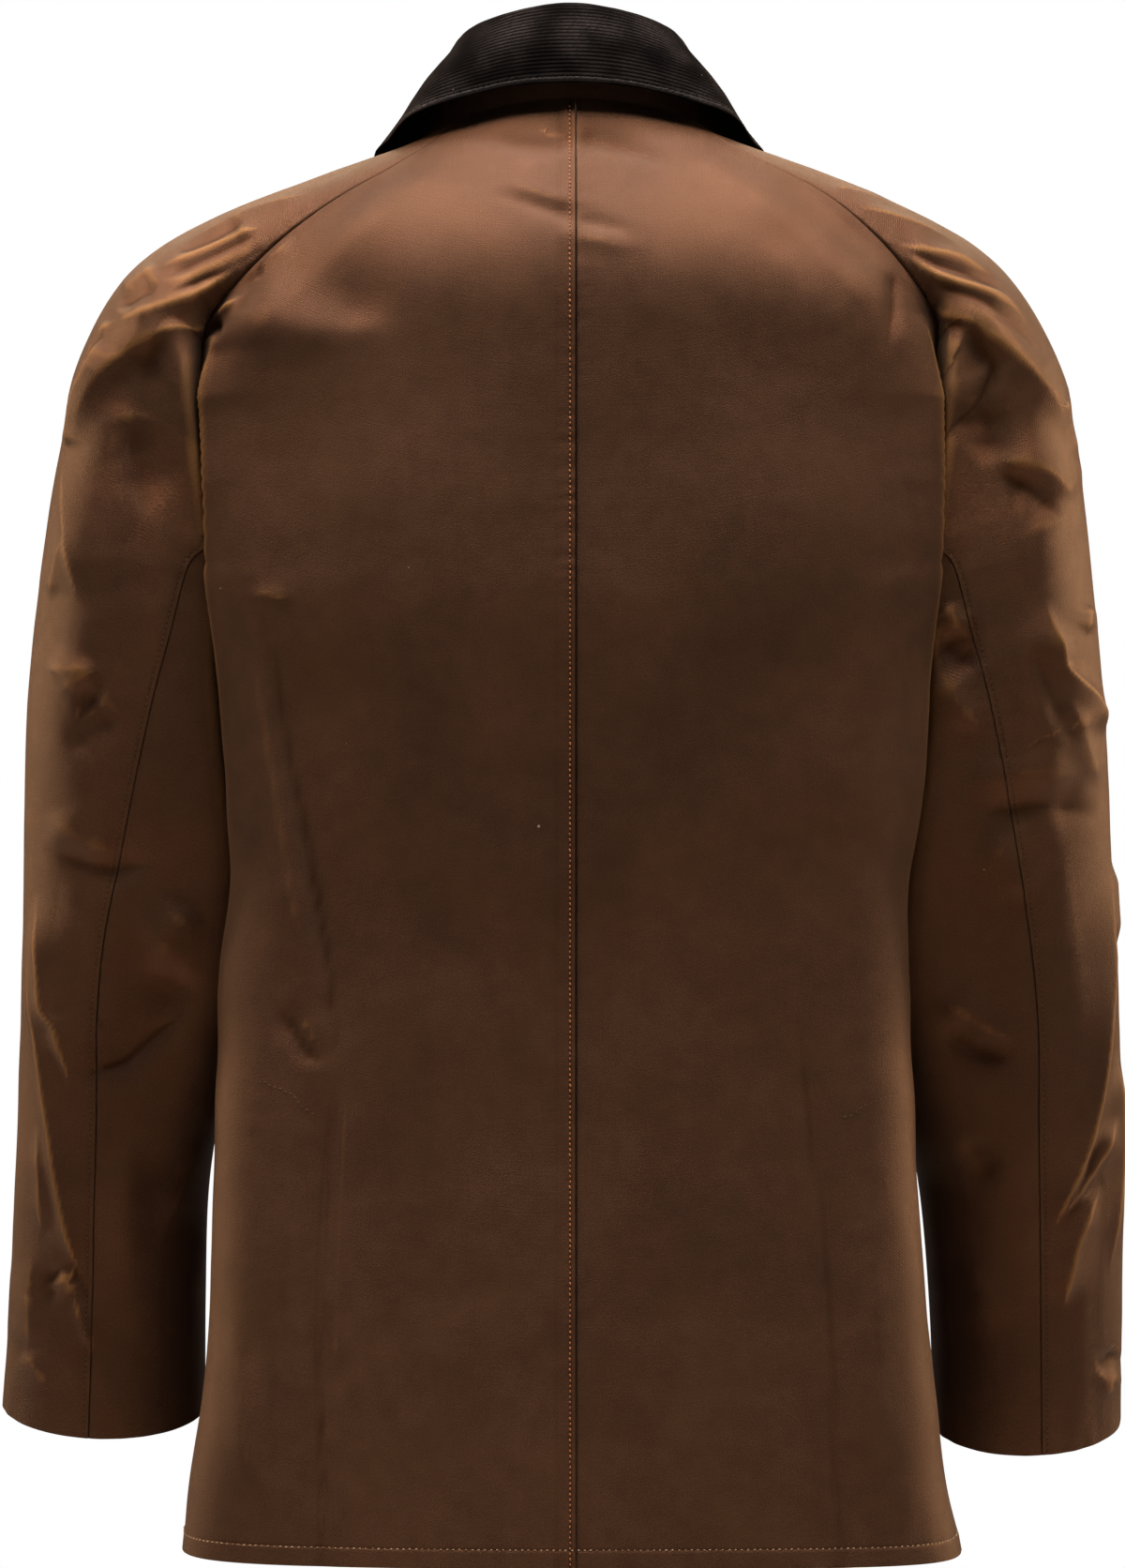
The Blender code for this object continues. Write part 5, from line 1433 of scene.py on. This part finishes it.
def collar_surfaces(neck):
    """Grids of the stand and the fall, the fall's wales as a value for their painted crown light
    and groove shade, and its worn edge.
    """
    mirrored = [(-place, -rx, ry, rz, -ex, ey, ez) for place, rx, ry, rz, ex, ey, ez in COLLAR[1:]]
    table = mirrored[::-1] + list(COLLAR)
    places = [row[0] for row in table]
    shares = np.linspace(1, -1, len(neck))
    rows = spline([row[1:] for row in table], np.interp(shares, places, range(len(places))))
    stand, fall = [], []
    up = np.array((0, 0, 1.0))
    for point, row, share in zip(neck, rows, shares):
        roll, edge = row[:3], row[3:]
        out = (edge - roll) * (1, 1, 0)
        out = out / np.linalg.norm(out)
        behind = smooth(*COLLAR_TUCK_PLACES, abs(share))
        edge = edge - np.array((0, COLLAR_TUCK, COLLAR_DROP)) * behind
        top = point + (roll - point) * STAND_SHARE
        rise = (roll - point) / np.linalg.norm(roll - point)
        start = point - rise * STAND_BELOW_SEAM - out * STAND_INSIDE_SEAM
        stand.append(even_spline(np.array((start, (point + top) / 2 + out * 0.5,
                                           top)), STAND_POINTS))
        inside = top - out * CORDUROY + rise * 0.7
        over = roll + out * ROLL_RADIUS + up * ROLL_RISE
        outside = roll + out * 2 * ROLL_RADIUS - up * ROLL_DROP
        middle = (outside + edge) / 2 + (up + out) * FALL_BELLY
        profile = np.array((inside, (inside + roll) / 2, roll, over, outside, middle, edge))
        fall.append(even_spline(profile, FALL_POINTS))
    stand, fall = np.array(stand), np.array(fall)
    along = lengths_along(fall[:, -1:], 0)
    across, from_edge, _, _ = edge_distances(fall)
    height = sum(rise * np.sin(along / length + start) for rise, length, start in FALL_WAVES)
    rise, spacing, seed = FALL_UNEVENNESS
    height = (height + rise * unevenness(fall, spacing, seed)) * smooth(*FALL_LOOSE, across)
    fall = raised(fall, -1, height)
    # the wale value: 0 in a groove, 1 on a crown; the material paints shade and light by it
    wale = np.abs(np.sin(math.pi * (from_edge - WALE_EDGE) / WALE_PITCH)) ** WALE_ROUNDNESS
    wale = np.where(from_edge < WALE_EDGE, WALE_EDGE_LEVEL, wale)
    even, uneven, spacing, seed = WALE_RISE
    ridge = wale * WALE_HEIGHT * (even + uneven * unevenness(fall, spacing, seed))
    even, uneven, spacing, seed = WALE_WEAR_AND_CROWN_LIGHT
    wale = wale * np.clip(even + uneven * unevenness(fall, spacing, seed), 0.1, 1)
    ridge += groove(from_edge, COLLAR_EDGE_INSET, COLLAR_GROOVE)
    ridge += turned_edge(from_edge, COLLAR_EDGE_ROLL)
    nap = -groove(from_edge, COLLAR_EDGE_INSET, COLLAR_NAP)
    return stand, raised(fall, -1, ridge), {"wale": wale, "edge nap": nap}


# ---------------------------------------------------------------- pieces on the fronts

def plain_front(side):
    """A front panel's surface without folds, with its outward normals and shares."""
    rows = np.linspace(0, len(BACK) - 1, (len(BACK) - 1) * 6 + 1)
    shares = np.linspace(0, 1, 43)
    grid = section(*front_lines(side, rows), np.tile(shares, (len(rows), 1)))
    return grid, normals_of(grid, SIDES[side]), shares


def on_front(front, share, heights):
    """Points and outward normals of a plain front on one share, at these heights."""
    grid, normals, shares = front
    place = share * (len(shares) - 1)
    first = min(int(place), len(shares) - 2)
    f = place - first
    points = grid[:, first] * (1 - f) + grid[:, first + 1] * f
    ups = normals[:, first] * (1 - f) + normals[:, first + 1] * f
    depth = -np.atleast_1d(np.asarray(heights, float))
    found = np.stack([np.interp(depth, -points[:, 2], points[:, i]) for i in range(3)], axis=1)
    up = np.stack([np.interp(depth, -points[:, 2], ups[:, i]) for i in range(3)], axis=1)
    return found, up / np.linalg.norm(up, axis=1, keepdims=True)


def stepped(low, high, count, step):
    """count values from low to high, with closer ones at both ends."""
    ends = np.array(PATCH_STEPS) * step
    middle = np.linspace(low + 7 * step, high - 7 * step, count - 2 * len(PATCH_STEPS))
    return np.concatenate((low + ends, middle, high - ends[::-1]))


def nearest_edge(grid):
    """Distance of each point of a patch from its nearest edge."""
    across, back, down, up = edge_distances(grid)
    return np.minimum(np.minimum(across, back), np.minimum(down, up))


def fly_surface(fronts):
    """The storm fly, over both edges of the fronts."""
    heights = stepped(*FLY_HEIGHTS, FLY_ROWS, -1.0)
    lift = SOLID_CLOTH + LAYER_GAP
    columns = []
    for distance in stepped(-FLY_HALF_WIDTH, FLY_HALF_WIDTH, FLY_COLUMNS, 1.0):
        front = fronts["left" if distance >= 0 else "right"]
        width = np.linalg.norm(front[0][:, 1] - front[0][:, 0], axis=1).mean() / front[2][1]
        points, ups = on_front(front, abs(distance) / width, heights)
        columns.append(points + ups * lift)
    return np.stack(columns, axis=1)


def patch_surface(front, cells_wide, heights, rows, lifts):
    """A pocket or flap that lies on a front; lifts are its lift above and below the seam."""
    low, high = (c / PANEL_CELLS for c in cells_wide)
    levels = stepped(*heights, rows, -1.0)
    lift = lifts[0] + (lifts[1] - lifts[0]) * smooth(*FLAP_RISE, heights[0] - levels)
    columns = []
    for share in stepped(low, high, PATCH_COLUMNS, PATCH_MILLIMETRE):
        points, ups = on_front(front, share, levels)
        columns.append(points + ups * lift[:, None])
    return np.stack(columns, axis=1)


def press_stud(name, point, up, lift, material):
    """A turned press-stud cap, closed at its back."""
    base = Vector(point + up * (lift + STUD_LIFT))
    turn = Vector((0, 0, 1)).rotation_difference(Vector(up))
    vertices = [tuple(base)]
    rings = []
    for radius, height in STUD_PROFILE:
        ring = []
        for i in range(STUD_SIDES if radius else 1):
            angle = math.tau * i / STUD_SIDES
            place = Vector((STUD_RADIUS * radius * math.cos(angle),
                            STUD_RADIUS * radius * math.sin(angle), height))
            ring.append(len(vertices))
            vertices.append(tuple(base + turn @ place))
        rings.append(ring)
    faces = []
    for i in range(STUD_SIDES):
        j = (i + 1) % STUD_SIDES
        faces.append((0, rings[0][j], rings[0][i]))
        for low, high in zip(rings, rings[1:]):
            if len(high) == 1:
                faces.append((low[i], low[j], high[0]))
            else:
                faces.append((low[i], low[j], high[j], high[i]))
    return make_mesh(name, vertices, faces, material, 40)


# ---------------------------------------------------------------- making it


def add_cloth(name, piece):
    """Joins a cloth piece to the body and hides the solid that it stands for."""
    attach(piece, "root")
    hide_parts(name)


def stitch_line(grid, outward, rows=slice(None), columns=slice(None), lift=0.05):
    """The points and normals of part of a row or column of a surface."""
    normals = normals_of(grid, outward)[rows, columns]
    return grid[rows, columns] + normals * lift, normals


def both_sides(grids, outward, rows, columns):
    """The same line of stitches on the left surface and on the right one."""
    return [stitch_line(grids[side], outward * sign, rows, columns)
            for side, sign in SIDES.items()]


def nearest_column(grid, distance):
    """The column whose distance from the first is closest to this, halfway down."""
    return int(np.argmin(np.abs(lengths_along(grid, 1)[len(grid) // 2] - distance)))


def nearest_row(grid, distance):
    """The row whose distance from the first is closest to this, halfway across."""
    return int(np.argmin(np.abs(lengths_along(grid, 0)[:, grid.shape[1] // 2] - distance)))


def build_jacket():
    """All cloth pieces, their stitches and the studs, and the cut of each sheet."""
    rows, arm_rows = body_rows(), sleeve_rows()
    cotton, cord = waxed_cotton(), corduroy()
    rust, tan, brown, black = (thread(f"{name} thread", *dyes) for name, dyes in THREADS.items())
    backs, fronts, tops = {}, {}, {}
    for side, sign in SIDES.items():
        backs[side] = back_surface(side, rows)
        add_cloth(f"back_{side}", shell(f"back_{side}_cloth", backs[side], -sign, cotton))
        fronts[side], keep = front_surface(side, rows, backs[side])
        add_cloth(f"front_{side}", shell(f"front_{side}_cloth", fronts[side], sign, cotton,
                                         keep=keep))
        surfaces = sleeve_surfaces(side, arm_rows)
        tops[side] = surfaces["top"]
        for name, grid in surfaces.items():
            name = f"sleeve_{name}_{side}"
            add_cloth(name, shell(f"{name}_cloth", grid, -sign, cotton))
    stand, fall, worn = collar_surfaces(neck_line(backs, tops, fronts))
    add_cloth("collar_stand", shell("collar_stand_cloth", stand, 1, cotton))
    add_cloth("collar_fall", shell("collar_fall_cloth", fall, -1, cord, CORDUROY,
                                   values=worn))
    build_front_pieces(cotton, brown)
    column = EDGE_STEPS.index(STITCH_INSET)
    sew("back_seam", [stitch_line(backs["left"], -1, slice(2, None), column)], rust)
    hem = -1 - HEM_STEPS.index(HEM_DEPTH)
    sew("hem", both_sides(backs, -1, hem, slice(3, -3))
        + both_sides(fronts, 1, hem, slice(3, -3 - UNDERLAP_CELLS)), tan)
    vent = int(np.searchsorted(rows, VENT_ROW + 0.25))
    inset = -1 - EDGE_STEPS.index(VENT_STITCH_INSET)
    tacks = [tack_line(backs[side], -SIDES[side], path) for side, path in TACKS.items()]
    sew("vent", both_sides(backs, -1, slice(vent, -2), inset) + tacks, brown)
    seam = int(np.searchsorted(arm_rows, BACK_SEAM_ROW + 0.15))
    sew("sleeve", both_sides(tops, -1, slice(seam, -2), column), brown)
    along = -1 - nearest_column(fall[:, ::-1], COLLAR_EDGE_INSET)
    sew("collar", [stitch_line(fall, -1, slice(2, -2), along, 0.1)], black)


def build_front_pieces(cotton, brown):
    """The storm fly, the pockets with their flaps, and the press studs."""
    fronts = {side: plain_front(side) for side in SIDES}
    lift = SOLID_CLOTH + LAYER_GAP
    brass = stud_brass()
    fly = fly_surface(fronts)
    edge = nearest_edge(fly)
    rise, spacing, seed = FLY_UNEVENNESS
    height = (turned_edge(edge) + groove(edge, FLY_STITCH_INSET)
              + rise * unevenness(fly, spacing, seed))
    fly = raised(fly, 1, height)
    add_cloth("storm_fly", shell("storm_fly_cloth", fly, 1, cotton))
    at = nearest_column(fly, FLY_STITCH_INSET)
    lay = [stitch_line(fly, 1, slice(2, -2), column) for column in (at, -1 - at)]
    for count, level in enumerate(FLY_STUD_HEIGHTS, 1):
        point, up = on_front(fronts["left"], 0.0, level)
        add_stud(f"fly_stud_{count}", point[0], up[0], lift, brass)
    for side, sign in SIDES.items():
        pocket = patch_surface(fronts[side], POCKET_CELLS, POCKET_HEIGHTS, POCKET_ROWS,
                               (lift, lift))
        flap = patch_surface(fronts[side], FLAP_CELLS, FLAP_HEIGHTS, FLAP_ROWS,
                             (lift, 2 * lift))
        for name, grid in (("pocket", pocket), ("pocket_flap", flap)):
            edge = nearest_edge(grid)
            height = turned_edge(edge) + groove(edge, PATCH_STITCH_INSET)
            rise, spacing, seed = PATCH_UNEVENNESS
            height = height + rise * unevenness(grid, spacing, seed + sign)
            grid = raised(grid, sign, height)
            add_cloth(f"{name}_{side}", shell(f"{name}_{side}_cloth", grid, sign, cotton))
            across = nearest_column(grid, PATCH_STITCH_INSET)
            below = -1 - nearest_row(grid[::-1], PATCH_STITCH_INSET)
            lay += [stitch_line(grid, sign, slice(2, -4), column)
                    for column in (across, -1 - across)]
            lay.append(stitch_line(grid, sign, below, slice(across, -1 - across)))
        middle = sum(FLAP_CELLS) / 2 / PANEL_CELLS
        point, up = on_front(fronts[side], middle, FLAP_HEIGHTS[1] + FLAP_STUD_RISE)
        add_stud(f"flap_stud_{side}", point[0], up[0], 2 * lift, brass)
    sew("front", lay, brown)


def add_stud(name, point, up, lift, brass):
    """A press stud's cap in place of its solid."""
    piece = press_stud(f"{name}_cap", point, up, lift, brass)
    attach(piece, "root")
    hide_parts(name)


def tack_line(grid, outward, path):
    """A short row of stitches on a back panel, along a path in the back view."""
    normals = normals_of(grid, outward)
    points, ups = [], []
    for x, z in even_spline(np.array(path, float), TACK_POINTS):
        away = np.hypot(grid[..., 0] - x, grid[..., 2] - z).ravel()
        nearest = np.argsort(away)[:4]
        weights = 1 / (away[nearest] + 0.05)
        weights = weights / weights.sum()
        points.append((grid.reshape(-1, 3)[nearest] * weights[:, None]).sum(0))
        ups.append(normals.reshape(-1, 3)[nearest[0]])
    return np.array(points) + np.array(ups) * 0.1, np.array(ups)


# ---------------------------------------------------------------- studio

FLOOR_HEIGHT = -1.50               # metres, as below
FLOOR_RADIUS = 2.4
GLOW = 0.06                        # strength of the surroundings as a light
CAMERA_PLACE = (0.004, 3.5, -0.358)
FOCAL_PIXELS = 7000.0
FRAME_HEIGHT_PIXELS = 1672.0
SENSOR = 36.0
WHITE = (1.0, 1.0, 1.0)
WARM = (1.0, 0.66, 0.36)
LIGHTS = (
    # name, place, target, size, power, colour
    ("key softbox", (0.0, 0.66, 1.88), (0, 0.08, -0.1), (3.4, 0.5), 78, WHITE),
    ("overhead softbox", (0.0, 0.0, 1.30), (0, 0, -0.2), (1.4, 0.4), 26, WHITE),
    ("left strip", (1.8, -0.9, 0.05), (0.25, 0, -0.25), (0.3, 1.1), 17, WARM),
    ("left shoulder softbox", (1.3, 0.25, 1.6), (0.22, 0, -0.1), (0.5, 0.5), 28, WARM),
    ("right shoulder softbox", (-1.3, 0.25, 1.6), (-0.22, 0, -0.1), (0.5, 0.5), 22, WARM),
    ("right strip", (-1.8, -0.9, 0.05), (-0.25, 0, -0.25), (0.3, 1.1), 23, WARM),
    ("front fill", (0.0, -2.2, 1.3), (0, 0, -0.2), (3.2, 1.0), 26, (1.0, 0.72, 0.46)),
)


def soft_light(name, place, target, size, power, colour):
    """A rectangular light that faces its target."""
    data = bpy.data.lights.new(name, "AREA")
    data.shape = "RECTANGLE"
    data.size, data.size_y = size
    data.energy = power
    data.color = colour
    made = bpy.data.objects.new(name, data)
    made.location = place
    made.rotation_euler = (Vector(target) - Vector(place)).to_track_quat("-Z", "Y").to_euler()
    bpy.context.scene.collection.objects.link(made)


def build_studio():
    """Pale floor, soft lights, white surroundings and the camera."""
    bpy.ops.mesh.primitive_circle_add(vertices=96, radius=FLOOR_RADIUS, fill_type="NGON")
    floor = bpy.context.object
    floor.name = "floor"
    floor.data.transform(Matrix.Translation((0, 0, FLOOR_HEIGHT)))
    floor.data.materials.append(pale_floor())
    scene = bpy.context.scene
    world = bpy.data.worlds.new("studio")
    scene.world = world
    world.use_nodes = True
    tree = world.node_tree
    tree.nodes.clear()
    glow = node(tree, "ShaderNodeBackground", in_Color=(1, 1, 1, 1), in_Strength=GLOW)
    seen = node(tree, "ShaderNodeBackground", in_Color=(1, 1, 1, 1), in_Strength=1.0)
    path = node(tree, "ShaderNodeLightPath")
    blend = node(tree, "ShaderNodeMixShader", in_0=path.outputs["Is Camera Ray"],
                 in_1=glow.outputs[0], in_2=seen.outputs[0])
    node(tree, "ShaderNodeOutputWorld", in_Surface=blend.outputs[0])
    for light in LIGHTS:
        soft_light(*light)
    scene.view_settings.view_transform = "Standard"
    camera_data = bpy.data.cameras.new("camera")
    camera_data.sensor_width = SENSOR
    camera_data.lens = SENSOR * FOCAL_PIXELS / FRAME_HEIGHT_PIXELS
    camera = bpy.data.objects.new("camera", camera_data)
    camera.location = CAMERA_PLACE
    camera.rotation_euler = (math.radians(90), 0, math.radians(180))
    scene.collection.objects.link(camera)
    scene.camera = camera


build_studio()
build_jacket()
